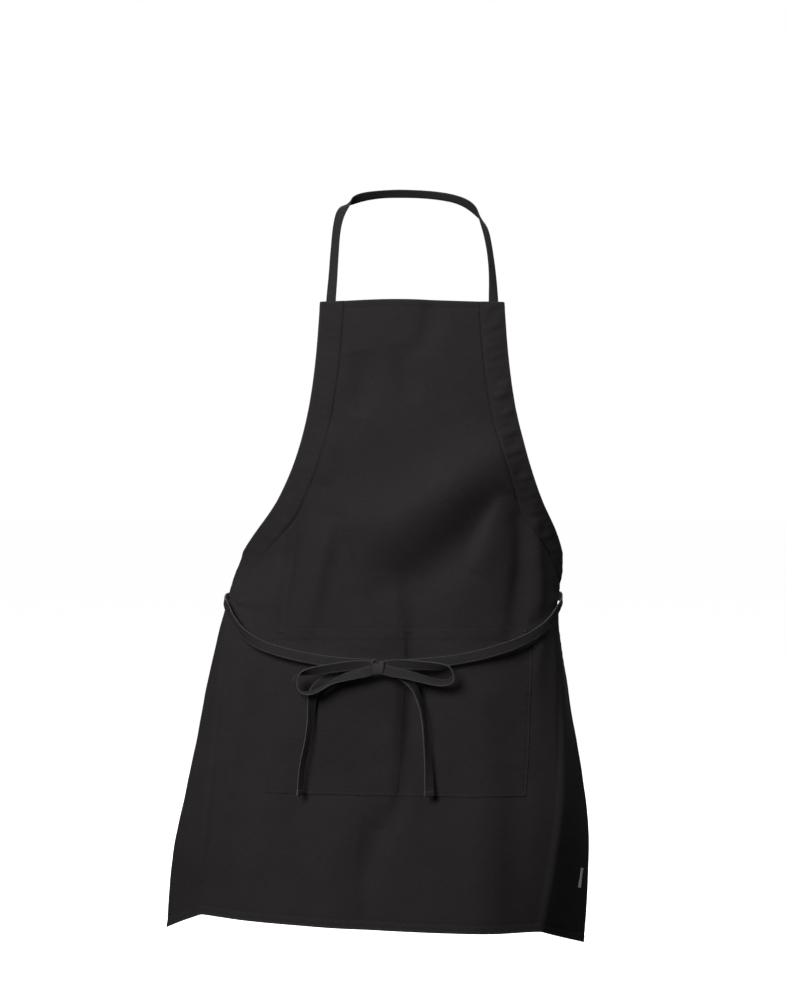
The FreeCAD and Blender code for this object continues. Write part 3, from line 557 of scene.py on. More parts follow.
def cloth_sheet(name, across, down, front, back, material, wear_and_painted_light):
    """A closed sheet of cloth with a rounded rim, from two grids of points."""
    rows, columns = across.shape
    index = np.arange(rows * columns).reshape(rows, columns)
    quads = np.stack([index[:-1, :-1], index[1:, :-1], index[1:, 1:], index[:-1, 1:]], -1)
    quads = quads.reshape(-1, 4)
    count = rows * columns
    loop = np.concatenate([index[0, :-1], index[:-1, -1], index[-1, :0:-1], index[:0:-1, 0]])
    inner = np.concatenate([index[1, :-1], index[:-1, -2], index[-2, :0:-1], index[:0:-1, 1]])
    flat_front, flat_back = front.reshape(-1, 3), back.reshape(-1, 3)
    out = flat_front[loop] - flat_front[inner]
    out /= np.linalg.norm(out, axis=1, keepdims=True) + 1e-9
    thick = np.linalg.norm(flat_front[loop] - flat_back[loop], axis=1, keepdims=True)
    rims = []
    for share, reach in ((0.18, 0.32), (0.5, 0.45), (0.82, 0.32)):
        middle = flat_front[loop] * (1 - share) + flat_back[loop] * share
        rims.append(middle + out * thick * reach)
    points = np.vstack([flat_front, flat_back, *rims])
    size = len(loop)
    chain = [loop] + [2 * count + k * size + np.arange(size) for k in range(3)] + [loop + count]
    faces = quads.tolist() + (quads[:, ::-1] + count).tolist()
    for a, b in zip(chain, chain[1:]):
        after_a, after_b = np.roll(a, -1), np.roll(b, -1)
        faces += np.stack([a, after_a, after_b, b], -1).tolist()
    flat = np.stack([across, down], -1).reshape(-1, 2)
    uvs = np.vstack([flat, flat] + [flat[loop]] * 3)
    worn_and_lit = np.asarray(wear_and_painted_light, float).ravel()
    worn_and_lit = np.concatenate([worn_and_lit, worn_and_lit] + [worn_and_lit[loop]] * 3)
    return add_mesh(name, points, faces, material, uvs, worn_and_lit)


def nurbs_line(points):
    """Points along the NURBS spline that has these control points, in millimetres."""
    curve = bpy.data.curves.new("route", "CURVE")
    curve.dimensions = "3D"
    curve.resolution_u = 24
    spline = curve.splines.new("NURBS")
    spline.points.add(len(points) - 1)
    for control, point in zip(spline.points, points):
        control.co = (*point, 1.0)
    spline.order_u = 3
    spline.use_endpoint_u = True
    holder = bpy.data.objects.new("route", curve)
    mesh = bpy.data.meshes.new_from_object(holder)
    line = np.array([vertex.co for vertex in mesh.vertices], float) / MM
    bpy.data.objects.remove(holder)
    bpy.data.meshes.remove(mesh)
    bpy.data.curves.remove(curve)
    return line


def arc_along(line):
    """The distance along a line to each of its points."""
    return np.concatenate([[0.0], np.cumsum(np.linalg.norm(np.diff(line, axis=0), axis=1))])


def paced(line, others, pace):
    """The line and its companions at even steps of about `pace` along the line."""
    arc = arc_along(line)
    at = np.linspace(0, arc[-1], max(2, int(round(arc[-1] / pace)) + 1))
    picked = [np.stack([np.interp(at, arc, track[:, k]) for k in range(3)], -1)
              for track in [line, *others]]
    return at, picked


def unit(vectors):
    return vectors / (np.linalg.norm(vectors, axis=-1, keepdims=True) + 1e-12)


def squared(width, ahead):
    """Unit width directions, made square to the directions ahead."""
    return unit(width - ahead * np.sum(width * ahead, axis=1, keepdims=True))


def rings_along(centre, width, face, across, off):
    """Rings of points round a line, from distances along its width and its face directions."""
    return centre[:, None] + width[:, None] * across[..., None] + face[:, None] * off[..., None]


def route_frame(route, pace=1.5):
    """Arc length, centres, width directions and face directions along a strap's route."""
    reach = 0.005
    centre = nurbs_line([point[:3] for point in route])
    aside = []
    for x, y, z, wx, wy, wz in route:
        long = math.sqrt(wx * wx + wy * wy + wz * wz)
        aside.append((x + wx / long * reach, y + wy / long * reach, z + wz / long * reach))
    aside = nurbs_line(aside)
    arc, (centre, aside) = paced(centre, [aside], pace)
    ahead = unit(np.gradient(centre, axis=0))
    width = squared(aside - centre, ahead)
    return arc, centre, width, np.cross(ahead, width)


def strap_section():
    """The folded strap's outline: shares of half the width and of half the thickness."""
    top = []
    for w in (-0.985, -0.94, -0.88, -0.82, -0.76, -0.70, -0.62, -0.3, 0.1, 0.5, 0.8, 0.92, 0.98):
        thick = 1.0 - 0.34 * float(bump(w, -STRAP_STITCH, 0.05))
        thick *= math.sqrt(max(0.0, 1 - max(0.0, (abs(w) - 0.86) / 0.14) ** 2.4 * 0.8))
        top.append((w, thick))
    open_edge = [(-1.0, -0.35), (-0.975, 0.0), (-1.0, 0.35)]
    return top + [(1.0, 0.0)] + [(w, -t) for w, t in reversed(top)] + open_edge


SECTION = np.array(strap_section())


def strap_points(arc, centre, width, face, seed, end_fold=0.0, pinch=None):
    """Rings of points round a folded strap, uneven as sewn cloth is."""
    draw = np.random.default_rng(seed)
    phases = draw.uniform(0, 2 * math.pi, 6)
    sway = np.sin(arc / 17.0 + phases[0]) + 0.7 * np.sin(arc / 7.3 + phases[1])
    swell = np.sin(arc / 11.0 + phases[2]) + 0.8 * np.sin(arc / 4.9 + phases[3])
    lumps = np.sin(arc / 23.0 + phases[4]) * 0.35
    half = STRAP_WIDTH / 2 * (1 + 0.012 * sway)
    thick = STRAP_THICK / 2 * (0.97 + 0.05 * swell)
    if pinch is not None:
        drawn = bump(arc, pinch, 13.0)
        half = half * (1 - 0.42 * drawn)
        thick = thick * (1 + 0.5 * drawn)
    if end_fold:
        at_end = smooth((arc - (arc[-1] - end_fold)) / 1.5)
        thick = thick * (1 + 0.75 * at_end)
        half = half * (1 + 0.035 * at_end)
    w, t = SECTION[:, 0], SECTION[:, 1]
    stitch_wave = 0.10 * np.cos(arc[:, None] * 2 * math.pi / (STITCH + STITCH_GAP))
    cup = (lumps[:, None] * (w[None, :] ** 2 - 0.4)) * 0.8
    off = t[None, :] * thick[:, None] * (1 + stitch_wave * bump(w, -STRAP_STITCH, 0.1)[None, :])
    return rings_along(centre, width, face, w[None, :] * half[:, None], off + cup)


def strap_uvs(arc):
    """The cloth coordinates of the strap's rings: round its outline and along its length."""
    girth = SECTION[:, 0] * STRAP_WIDTH / 2
    return np.stack(np.broadcast_arrays(girth[None, :], arc[:, None]), -1).reshape(-1, 2)


def tube_faces(rings, around, closed=False):
    """Quads between rings of points, and a cap at each end unless the tube is closed."""
    faces = []
    steps = rings if closed else rings - 1
    for i in range(steps):
        a, b = i * around, (i + 1) % rings * around
        for j in range(around):
            k = (j + 1) % around
            faces.append((a + j, a + k, b + k, b + j))
    if not closed:
        faces.append(tuple(range(around))[::-1])
        faces.append(tuple(range((rings - 1) * around, rings * around)))
    return faces


def thread_rings(line, aside, facing, radius, around=6):
    """Rings of points round thread that follows a line."""
    turns = np.arange(around)[:, None] * 2 * math.pi / around
    ring = aside[..., None, :] * np.cos(turns) + facing[..., None, :] * np.sin(turns)
    return line[..., None, :] + ring * radius


def beads(line, normals):
    """The stitches of one row, as small rounded beads that dip into the cloth at their ends."""
    arc = arc_along(line)
    count = max(1, int(arc[-1] // (STITCH + STITCH_GAP)))
    pitch = arc[-1] / count
    shares = np.array([0.0, 0.16, 0.5, 0.84, 1.0])
    sizes = np.array([0.45, 0.92, 1.0, 0.92, 0.45]) * THREAD
    lifts = np.array([-0.9, 0.15, 0.45, 0.15, -0.9]) * THREAD
    at = (np.arange(count)[:, None] + 0.5) * pitch + (shares[None, :] - 0.5) * STITCH
    spot = np.stack([np.interp(at, arc, line[:, k]) for k in range(3)], -1)
    facing = unit(np.stack([np.interp(at, arc, normals[:, k]) for k in range(3)], -1))
    aside = unit(np.cross(unit(spot[:, -1:] - spot[:, :1]), facing))
    points = thread_rings(spot + facing * lifts[None, :, None], aside, facing, sizes[None, :, None, None])
    one = tube_faces(len(shares), points.shape[2])
    per = points.shape[1] * points.shape[2]
    faces = [tuple(i * per + corner for corner in face) for i in range(count) for face in one]
    return points.reshape(-1, 3), faces


def joined(parts):
    """Several (points, faces) lists as one."""
    points, faces, start = [], [], 0
    for some_points, some_faces in parts:
        points.append(some_points)
        faces += [tuple(i + start for i in face) for face in some_faces]
        start += len(some_points)
    return np.vstack(points), faces


def on_apron(piece, slot, *nodes):
    """The piece moves with the apron and stands for these CAD nodes, which it hides. slot is not used."""
    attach(piece, "apron")
    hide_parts(*nodes)
    return piece


# ---------------------------------------------------------------- materials

def node(tree, kind, inputs=(), **settings):
    """A shader node with its settings and its unlinked inputs set."""
    made = tree.nodes.new(kind)
    for key, value in settings.items():
        setattr(made, key, value)
    for key, value in dict(inputs).items():
        made.inputs[key].default_value = value
    return made


def new_material(name):
    """A material with nodes, its node tree and its shader."""
    material = bpy.data.materials.new(name)
    material.use_nodes = True
    return material, material.node_tree, material.node_tree.nodes["Principled BSDF"]


def math_node(tree, operation, first, second):
    made = node(tree, "ShaderNodeMath", operation=operation)
    for slot, value in enumerate([first, second]):
        if isinstance(value, (int, float)):
            made.inputs[slot].default_value = value
        else:
            tree.links.new(value, made.inputs[slot])
    return made.outputs[0]


def weighted(tree, *pairs):
    """The sum of outputs, each times its share."""
    total = None
    for output, share in pairs:
        part = math_node(tree, "MULTIPLY", output, share)
        total = part if total is None else math_node(tree, "ADD", total, part)
    return total


def pattern(tree, kind, vector, inputs, **settings):
    """A noise or wave texture's value, read at a vector."""
    made = node(tree, kind, inputs, **settings)
    tree.links.new(vector, made.inputs["Vector"])
    return made.outputs["Fac"]


def noise_on(tree, vector, scale, detail, stretch=(1, 1, 1), rough=0.6):
    """Noise with that many grains to the unit, stretched along each direction."""
    mapping = node(tree, "ShaderNodeMapping", {"Scale": [scale * s for s in stretch]})
    tree.links.new(vector, mapping.inputs["Vector"])
    inputs = {"Scale": 1.0, "Detail": detail, "Roughness": rough}
    return pattern(tree, "ShaderNodeTexNoise", mapping.outputs[0], inputs)


def tones(tree, value, dark, light, start=0.0):
    """The colour from dark to light that a value picks."""
    ramp = node(tree, "ShaderNodeValToRGB")
    low, high = ramp.color_ramp.elements
    low.position = start
    low.color, high.color = (*dark, 1), (*light, 1)
    tree.links.new(value, ramp.inputs[0])
    return ramp.outputs[0]


def emboss(tree, shader, height, strength, depth):
    """Makes a height pattern show as relief, depth in metres."""
    relief_node = node(tree, "ShaderNodeBump", {"Strength": strength, "Distance": depth})
    tree.links.new(height, relief_node.inputs["Height"])
    tree.links.new(relief_node.outputs[0], shader.inputs["Normal"])


def twill(name, dark, light, lean=60.0, rib=0.95, worn_and_lit=(0.10, 0.095, 0.098)):
    """Cotton twill: diagonal ribs of yarn, slubs, uneven dye, a dry sheen, and a lighter colour that a
    per-point attribute mixes in: worn edges, and on the straps also a painted edge highlight and painted
    light on the neck strap's middle.
    """
    material, tree, shader = new_material(name)
    cloth = node(tree, "ShaderNodeUVMap", uv_map="cloth").outputs[0]
    per_mm = 100.0
    turned = node(tree, "ShaderNodeMapping", {
        "Rotation": (0, 0, math.radians(lean)), "Scale": [per_mm / rib / 6.2832] * 3,
    })
    tree.links.new(cloth, turned.inputs["Vector"])
    ribs = pattern(tree, "ShaderNodeTexWave", turned.outputs[0], {
        "Scale": 1.0, "Distortion": 0.9, "Detail": 2.0, "Detail Scale": 2.2,
    }, wave_type="BANDS", bands_direction="X", wave_profile="SIN")
    warp = noise_on(tree, cloth, per_mm, 3.0, (1.7, 0.13, 1))
    weft = noise_on(tree, cloth, per_mm, 3.0, (0.11, 1.5, 1))
    grain = noise_on(tree, cloth, per_mm * 0.45, 5.0, rough=0.7)
    mottle = noise_on(tree, cloth, per_mm / 38.0, 4.0)
    yarns = weighted(tree, (warp, 0.35), (weft, 0.65))
    shade = weighted(tree, (ribs, 0.16), (yarns, 0.62), (grain, 0.42), (mottle, 0.16))
    # The per-point attribute mixes in the lighter colour: real wear on the hems and edges, a painted
    # highlight along the straps' edges, and painted light on the neck strap's middle.
    wear_and_painted_light = node(tree, "ShaderNodeAttribute", attribute_name="wear_and_painted_light").outputs["Fac"]
    rub_and_light = math_node(tree, "MULTIPLY", wear_and_painted_light, math_node(tree, "ADD", 0.35, grain))
    mix = node(tree, "ShaderNodeMix", data_type="RGBA")
    tree.links.new(rub_and_light, mix.inputs["Factor"])
    tree.links.new(tones(tree, shade, dark, light, 0.36), mix.inputs["A"])
    mix.inputs["B"].default_value = (*worn_and_lit, 1)
    tree.links.new(mix.outputs["Result"], shader.inputs["Base Color"])
    rough = math_node(tree, "ADD", 0.74, math_node(tree, "MULTIPLY", grain, 0.22))
    tree.links.new(rough, shader.inputs["Roughness"])
    finish = {"Specular IOR Level": 0.10, "Sheen Weight": 0.05, "Sheen Roughness": 0.45,
              "Sheen Tint": (0.55, 0.53, 0.54, 1)}
    for key, value in finish.items():
        shader.inputs[key].default_value = value
    emboss(tree, shader, weighted(tree, (ribs, 0.45), (yarns, 0.55), (grain, 0.7)), 0.55, 0.00022)
    return material


def thread_material(name, dark, light):
    """Sewing thread, a little glossier than the cloth, with its twist as fine bands."""
    material, tree, shader = new_material(name)
    place_in = node(tree, "ShaderNodeTexCoord").outputs["Object"]
    twist = pattern(tree, "ShaderNodeTexWave", place_in, {"Scale": 1100.0, "Distortion": 0.6},
                    wave_type="BANDS", bands_direction="DIAGONAL")
    patchy = pattern(tree, "ShaderNodeTexNoise", place_in, {"Scale": 160.0, "Detail": 2.0})
    tone = weighted(tree, (twist, 0.4), (patchy, 0.6))
    tree.links.new(tones(tree, tone, dark, light), shader.inputs["Base Color"])
    shader.inputs["Roughness"].default_value = 0.55
    shader.inputs["Specular IOR Level"].default_value = 0.35
    emboss(tree, shader, twist, 0.5, 0.0001)
    return material


def label_material():
    """A blank woven satin label: fine weft ribs and a soft gloss."""
    material, tree, shader = new_material("woven_label")
    place_in = node(tree, "ShaderNodeTexCoord").outputs["Object"]
    ribs = pattern(tree, "ShaderNodeTexWave", place_in, {"Scale": 320.0, "Distortion": 0.3},
                   wave_type="BANDS", bands_direction="Z")
    colour = tones(tree, ribs, (0.40, 0.41, 0.43), (0.62, 0.63, 0.66))
    tree.links.new(colour, shader.inputs["Base Color"])
    shader.inputs["Roughness"].default_value = 0.5
    shader.inputs["Sheen Weight"].default_value = 0.2
    emboss(tree, shader, ribs, 0.5, 0.0001)
    return material


BODY_TWILL = twill("apron_twill", (0.0094, 0.0083, 0.0086), (0.032, 0.0282, 0.0292))
STRAP_TWILL = twill("strap_twill", (0.0110, 0.0102, 0.0104), (0.0345, 0.0318, 0.0325),
                    lean=52.0, rib=0.9, worn_and_lit=(0.088, 0.083, 0.085))
THREAD_STUFF = thread_material("sewing_thread", (0.0045, 0.0042, 0.0043), (0.016, 0.015, 0.0153))
# The straps' topstitching thread is several times lighter than the body's thread: a painted highlight
# standing in for the light the stitches catch.
HIGHLIGHTED_TIE_THREAD = thread_material("strap_thread_painted_highlight", (0.030, 0.028, 0.029), (0.115, 0.108, 0.11))
LABEL_STUFF = label_material()


# ---------------------------------------------------------------- camera and cords

def add_camera():
    """Level with the waist, straight in front of the apron, far enough to look natural."""
    data = bpy.data.cameras.new("camera")
    data.sensor_width = 36.0
    data.lens = 97.76
    camera = bpy.data.objects.new("camera", data)
    camera.location = (-0.0222, -3.365, -0.375)
    camera.rotation_euler = (math.radians(90), 0, 0)
    bpy.context.scene.collection.objects.link(camera)
    bpy.context.scene.camera = camera


def sew_strap(name, route, seed, body, nodes, end_fold=0.0, squeezed=None,
              paint_light_on_middle=False):
    """One free length of the strap with its topstitching.

    squeezed is the place where it is drawn narrow. The last flag marks the neck strap: it gets painted
    light across its middle, standing in for the light that falls on its top, and its edges are lightened
    only a quarter as much as the ties'."""
    arc, centre, width, face = route_frame(route)
    pinch = None
    if squeezed is not None:
        pinch = arc[np.argmin(np.linalg.norm(centre * MM - squeezed, axis=1))]
    rings = strap_points(arc, centre, width, face, seed, end_fold, pinch)
    count, around = rings.shape[:2]
    # The strap is painted lighter along its edges: wear together with a painted edge highlight.
    rim_wear_and_highlight = np.clip((np.abs(SECTION[:, 0]) - 0.9) / 0.1, 0, 1)
    wear_and_painted_light = np.broadcast_to(rim_wear_and_highlight[None, :], (count, around)) * EDGE_WEAR_AND_HIGHLIGHT
    # On the neck strap, painted light across its middle stands in for the light that falls on its top;
    # its edges are lightened only a quarter as much.
    if paint_light_on_middle:
        wear_and_painted_light = wear_and_painted_light * 0.25 + NECK_PAINTED_LIGHT * bump(arc, arc[-1] / 2, NECK_LIGHT_REACH)[:, None]
    piece = add_mesh(name, rings.reshape(-1, 3), tube_faces(count, around), STRAP_TWILL,
                     strap_uvs(arc), wear_and_painted_light.ravel())
    at = -STRAP_STITCH * STRAP_WIDTH / 2
    skin = STRAP_THICK / 2 * SEAM_SINK
    rows = []
    for sign in (1, -1):
        line = centre + width * at + face * (sign * skin)
        rows.append(beads(line[1:-1], face[1:-1] * sign))
    if end_fold:
        spot = centre[-1] - unit(centre[-1] - centre[-4]) * (end_fold - 1.2)
        shares = np.linspace(-0.86, 0.86, 12)[:, None]
        for sign in (1, -1):
            line = spot + width[-3] * shares * STRAP_WIDTH / 2 + face[-3] * (sign * skin * 2.5)
            rows.append(beads(line, np.repeat(face[-3:-2] * sign, len(shares), 0)))
    thread = add_mesh(f"{name}_topstitching", *joined(rows), THREAD_STUFF if paint_light_on_middle else HIGHLIGHTED_TIE_THREAD)
    for part, stuff in ((piece, "strap_twill"), (thread, "thread")):
        if body in BENDS:
            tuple(BENDS[body][0])
            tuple(BENDS[body][1])
            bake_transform(part)
        else:
            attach(part, body)
    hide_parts(*nodes)


def knot_band():
    """The band of strap that is drawn round the bow's middle."""
    count, deep, tall = 60, 5.0, 8.0
    turns = np.linspace(0, 2 * math.pi, count, endpoint=False)
    ring_y = -np.sign(np.cos(turns)) * np.abs(np.cos(turns)) ** 0.75 * deep
    ring_z = np.sign(np.sin(turns)) * np.abs(np.sin(turns)) ** 0.8 * tall
    path = np.stack([1.3 * np.sin(turns), ring_y, ring_z], -1) + KNOT
    ahead = unit(np.roll(path, -1, 0) - np.roll(path, 1, 0))
    wide = unit(np.stack([np.ones(count), 0.05 * np.sin(2 * turns), 0.16 * np.cos(turns)], -1))
    wide = squared(wide, ahead)
    half = 6.6 - 1.1 * np.abs(np.sin(turns)) ** 3
    w, t = SECTION[:, 0], SECTION[:, 1]
    crumple = (0.45 * np.sin(w[None, :] * 5.2 + 1.7 * np.sin(turns)[:, None])
               + 0.25 * np.sin(w[None, :] * 9.0 - 2.0 * turns[:, None]))
    across = w[None, :] * half[:, None]
    band = rings_along(path, wide, np.cross(ahead, wide), across, t[None, :] * 0.85 + crumple * 0.55)
    return band.reshape(-1, 3), tube_faces(count, len(w), closed=True)


def knot_core():
    """The layers of strap that the band holds, as one bunched form."""
    rows, columns = 22, 40
    lat = np.linspace(0.06, math.pi - 0.06, rows)[:, None]
    lon = np.arange(columns)[None, :] * 2 * math.pi / columns
    x = np.cos(lat) * 9.2 + 0 * lon
    y = np.sin(lat) ** 0.7 * np.cos(lon) * (4.3 + 0.5 * np.cos(3 * lon + 2 * np.cos(lat)))
    z = np.sin(lat) ** 0.7 * np.sin(lon) * (6.9 + 0.6 * np.sin(5 * lon + 3 * np.cos(lat)))
    return (np.stack([x, y, z], -1) + KNOT).reshape(-1, 3), tube_faces(rows, columns)


def knot_peak():
    """The small pointed fold that stands up from the top of the knot."""
    arc, centre, width, face = route_frame(KNOT_PEAK, 0.8)
    half = 1.2 + 2.2 * np.sin(np.linspace(0, math.pi, len(arc))) ** 0.8
    across = SECTION[:, 0][None, :] * half[:, None]
    off = np.broadcast_to(SECTION[:, 1] * 0.7, across.shape)
    return rings_along(centre, width, face, across, off).reshape(-1, 3), tube_faces(*across.shape)


def add_knot():
    points, faces = joined([knot_band(), knot_core(), knot_peak()])
    flat = np.stack([points[:, 0], points[:, 2] + points[:, 1]], -1)
    wear_and_painted_light = 0.25 * np.ones(len(points))
    return on_apron(add_mesh("bow_knot_wraps", points, faces, STRAP_TWILL, flat, wear_and_painted_light),
                    "strap_twill", "bow_knot")


def add_cords():
    """The neck strap, the two ties, and the bow's knot, loops and tails."""
    knot = add_knot()
    sew_strap("neck_loop_strap", NECK_ROUTE, 1, "neck_loop", ["neck_strap"], paint_light_on_middle=True)
    sew_strap("tie_from_left_channel", TIE_FROM_LEFT, 2, "apron", ["waist_tie_left"],
              squeezed=SQUEEZE_LEFT_TIE)
    sew_strap("tie_from_right_channel", TIE_FROM_RIGHT, 3, "apron", ["waist_tie_right"],
              squeezed=SQUEEZE_RIGHT_TIE)
    for word, seed, route in (("left", 4, LOOP_LEFT), ("right", 5, LOOP_RIGHT)):
        sew_strap(f"{word}_bow_loop", route, seed, f"{word}_loop", [f"bow_loop_{word}"])
    for word, seed, route in (("left", 6, TAIL_LEFT), ("right", 7, TAIL_RIGHT)):
        sew_strap(f"{word}_tail", route, seed, f"{word}_tail",
                  [f"tail_lead_{word}", f"tie_tail_{word}"], end_fold=TAIL_FOLD)


# ---------------------------------------------------------------- the sewn cloth

def graded(start, end, pace, from_start=(), from_end=()):
    """Numbers from start to end: given distances from each end and even steps between."""
    first = [start + d for d in from_start]
    last = [end - d for d in reversed(from_end)]
    low = first[-1] if first else start
    high = last[0] if last else end
    count = max(1, int(round((high - low) / pace)))
    middle = np.linspace(low, high, count + 1)
    return np.concatenate([first[:-1], middle, last[1:]])


def add_panel(label):
    """The one-piece body: the bib and the skirt, with turned and stitched hems."""
    rim = (0, 0.5, 1.4, 2.8, 4.4, 6.0, 7.3, 8.0, 8.8, 10.5)
    foot = (0, 0.5, 1.5, 3.0, 5.0, 7.0, 9.0, 10.0, 11.0, 13.0)
    ends = np.array([0, 0.5, 1.4, 2.8, 4.6, 6.6, 8.6, 10.6, 11.5, 12.0, 12.6, 14.0, 16.0])
    pace, inner_columns = 2.5, 233
    rows = np.concatenate([graded(0, CORNER_DOWN, pace, rim)[:-1],
                           graded(CORNER_DOWN, PANEL_LENGTH, pace, (), foot)])
    half = half_width(rows)
    middle = np.linspace(-1, 1, inner_columns)[None, :] * (half[:, None] - ends[-1])
    left = -half[:, None] + ends[None, :-1]
    across = np.hstack([left, middle, -left[:, ::-1]])
    down = np.broadcast_to(rows[:, None], across.shape)
    base, normal = drape(across, down) + gather(across, down), inward(across, down)
    off = relief(across, down)
    skirt = down > CORNER_DOWN + 30
    beside = half[:, None] - np.abs(across)
    hemmed = np.maximum(smooth((TOP_HEM + 0.5 - down) / 0.9),
                        smooth((down - PANEL_LENGTH + BOTTOM_HEM + 0.5) / 0.9))
    hemmed = np.maximum(hemmed, skirt * smooth((SIDE_HEM + 0.5 - beside) / 0.9))
    front = base + normal * (-PANEL_SKIN - off)[..., None]
    back = base + normal * (PANEL_SKIN + HEM_LAYER * hemmed - off)[..., None]
    foot_wear = bump(PANEL_LENGTH - down, 0.0, 1.6) + 0.3 * bump(PANEL_LENGTH - down, BOTTOM_HEM, 1.2)
    edge_wear = bump(beside, 0.0, 1.8) + 0.3 * skirt * bump(beside, SIDE_HEM, 1.2)
    top_wear = 0.6 * bump(down, 0.0, 1.4)
    wear_and_painted_light = np.clip(foot_wear + edge_wear + top_wear, 0, 1) * 0.16
    panel = cloth_sheet("apron_body", across, down, front, back, BODY_TWILL, wear_and_painted_light)
    on_apron(panel, "apron_twill", "apron_panel")
    area = 2 * float(half_width(np.linspace(0, PANEL_LENGTH, 400)).mean()) * PANEL_LENGTH * MM * MM


def add_pocket():
    """The pouch: a patch with turned edges, a deep mouth hem and a division seam."""
    ends = (0, 0.5, 1.4, 2.6, 3.0, 3.6, 5.0, 7.5, 10.0)
    rim = (0, 0.5, 1.4, 3.0, 6.0, 9.0, 12.0, 13.6, 14.4, 16.0)
    pace, seam = 2.4, 3.0
    rows = graded(POCKET_TOP, POCKET_BOTTOM, pace, rim, ends)
    left = graded(-POCKET_LEFT, -seam, pace, ends)
    right = graded(seam, POCKET_RIGHT, pace, (), ends)
    columns = np.concatenate([left, [-1.5, -0.6, 0.0, 0.6, 1.5], right])
    across, down = np.meshgrid(columns, rows)
    below = down - POCKET_TOP
    from_edge = np.minimum(np.minimum(across + POCKET_LEFT, POCKET_RIGHT - across), POCKET_BOTTOM - down)
    groove = 0.35 * bump(from_edge, POCKET_EDGE, 0.9)
    groove += 0.5 * bump(across, 0.0, 1.1) * smooth((below - 8.0) / 8.0)
    groove += 0.35 * bump(below, MOUTH_HEM, 1.0)
    pucker = 0.2 * np.sin(across * 2 * math.pi / 10.0) * bump(below, MOUTH_HEM - 4.0, 5.0)
    pucker += 0.2 * np.sin(down * 2 * math.pi / 11.0) * bump(from_edge, 6.0, 5.0)
    slack = 0.5 * ripples(across, down, 60.0, 31) * smooth((from_edge - 10.0) / 25.0)
    base, normal = drape(across, down), inward(across, down)
    proud = relief(across, down) + pocket_offset(across, down) - groove + pucker - np.abs(slack)
    turned = np.maximum(smooth((10.5 - from_edge) / 1.2), smooth((MOUTH_HEM + 0.6 - below) / 1.2))
    skin = 0.3
    front = base + normal * (-skin - proud)[..., None]
    back = base + normal * (skin + 0.1 * turned - proud)[..., None]
    wear_and_painted_light = np.clip(bump(from_edge, 0.0, 1.4) + bump(below, 0.0, 1.6), 0, 1) * 0.02
    pocket = cloth_sheet("pouch", across, down, front, back, BODY_TWILL, wear_and_painted_light)
    on_apron(pocket, "apron_twill", "pouch_pocket")


def add_facing(word, side):
    """The strip sewn behind an armhole's edge, which makes the channel for the strap."""
    inset, rest, wide = 1.0, 1.0, CHANNEL_WIDTH - 2.0
    shares = np.array([0, 0.03, 0.08, 0.16, 0.26, 0.38, 0.5, 0.62, 0.74, 0.84, 0.92, 0.97, 1.0])
    downs = np.linspace(4.0, 288.0, 114)
    across, down = beside_armhole(side, downs[:, None], inset + shares[None, :] * wide)
    square_end, across_end = across[-1], side * (half_width(CORNER_DOWN + 2.0 + shares * wide) - inset)
    square_down, down_end = down[-1], CORNER_DOWN + 2.0 + shares * wide
    for step in np.linspace(0, 1, 8)[1:]:
        across = np.vstack([across, square_end * (1 - step) + across_end * step])
        down = np.vstack([down, square_down * (1 - step) + down_end * step])
    share = np.broadcast_to(shares[None, :], across.shape)
    arch = 4 * share * (1 - share)
    room = CHANNEL_ROOM * np.minimum(1.0, 5.2 * share * (1 - share))
    mouth = MOUTH_OPENS * smooth((44.0 - down) / 40.0) * np.clip(arch, 0, 1)
    off = CLOTH + rest + room + mouth + 0.3 * ripples(down, across, 30.0, 41) * 4 * share * (1 - share)
    skin = 0.42
    turned = smooth((0.1 - np.minimum(share, 1 - share)) / 0.04)
    base, normal, sewn = drape(across, down), inward(across, down), relief(across, down)
    front = base + normal * (off - skin - sewn)[..., None]
    back = base + normal * (off + skin + 0.4 * turned - sewn)[..., None]
    if side > 0:
        across, down, front, back = (grid[:, ::-1] for grid in (across, down, front, back))
    wear_and_painted_light = 0.4 * bump(np.minimum(share, 1 - share), 0.0, 0.05)
    piece = cloth_sheet(f"channel_strip_{word}", across, down, front, back, BODY_TWILL, wear_and_painted_light)
    on_apron(piece, "apron_twill", f"channel_facing_{word}")
    centre = len(shares) // 2
    run = np.hypot(np.diff(across[:, centre]), np.diff(down[:, centre])).sum()


def add_channel_strap(word, side):
    """The hidden length of strap in a channel, down to where the tie leaves it."""
    behind = CLOTH + CHANNEL_ROOM / 2
    downs = np.linspace(120.0, 296.0, 60)
    rails = []
    for w in (-1, 1):
        across, down = beside_armhole(side, downs, CHANNEL_WIDTH / 2 + w * STRAP_WIDTH / 2)
        rails.append(place(across, down, behind))
    arc, (centre, width) = paced((rails[0] + rails[1]) / 2, [rails[1] - rails[0]], 1.5)
    ahead = unit(np.gradient(centre, axis=0))
    width = squared(width, ahead)
    rings = strap_points(arc, centre, width, np.cross(ahead, width), 50 + side)
    count, around = rings.shape[:2]
    piece = add_mesh(f"strap_in_channel_{word}", rings.reshape(-1, 3), tube_faces(count, around),
                     STRAP_TWILL, strap_uvs(arc), np.zeros(count * around))
    on_apron(piece, "strap_twill", f"channel_strap_{word}")


def thread_row(name, path, in_front, behind, nodes):
    """Both sides of one row of stitching, along (across, down) points and at given offsets."""
    across, down = np.array(path, float).T
    rows = []
    for offset, sign in ((in_front, -1), (behind, 1)):
        line = place(across, down, offset(across, down) if callable(offset) else offset)
        rows.append(beads(line, inward(across, down) * sign))
    on_apron(add_mesh(name, *joined(rows), THREAD_STUFF), "thread", *nodes)


def stations(start, end, pace=2.0):
    """Even steps of about `pace` from start to end."""
    return np.linspace(start, end, max(2, int(abs(end - start) / pace) + 1))


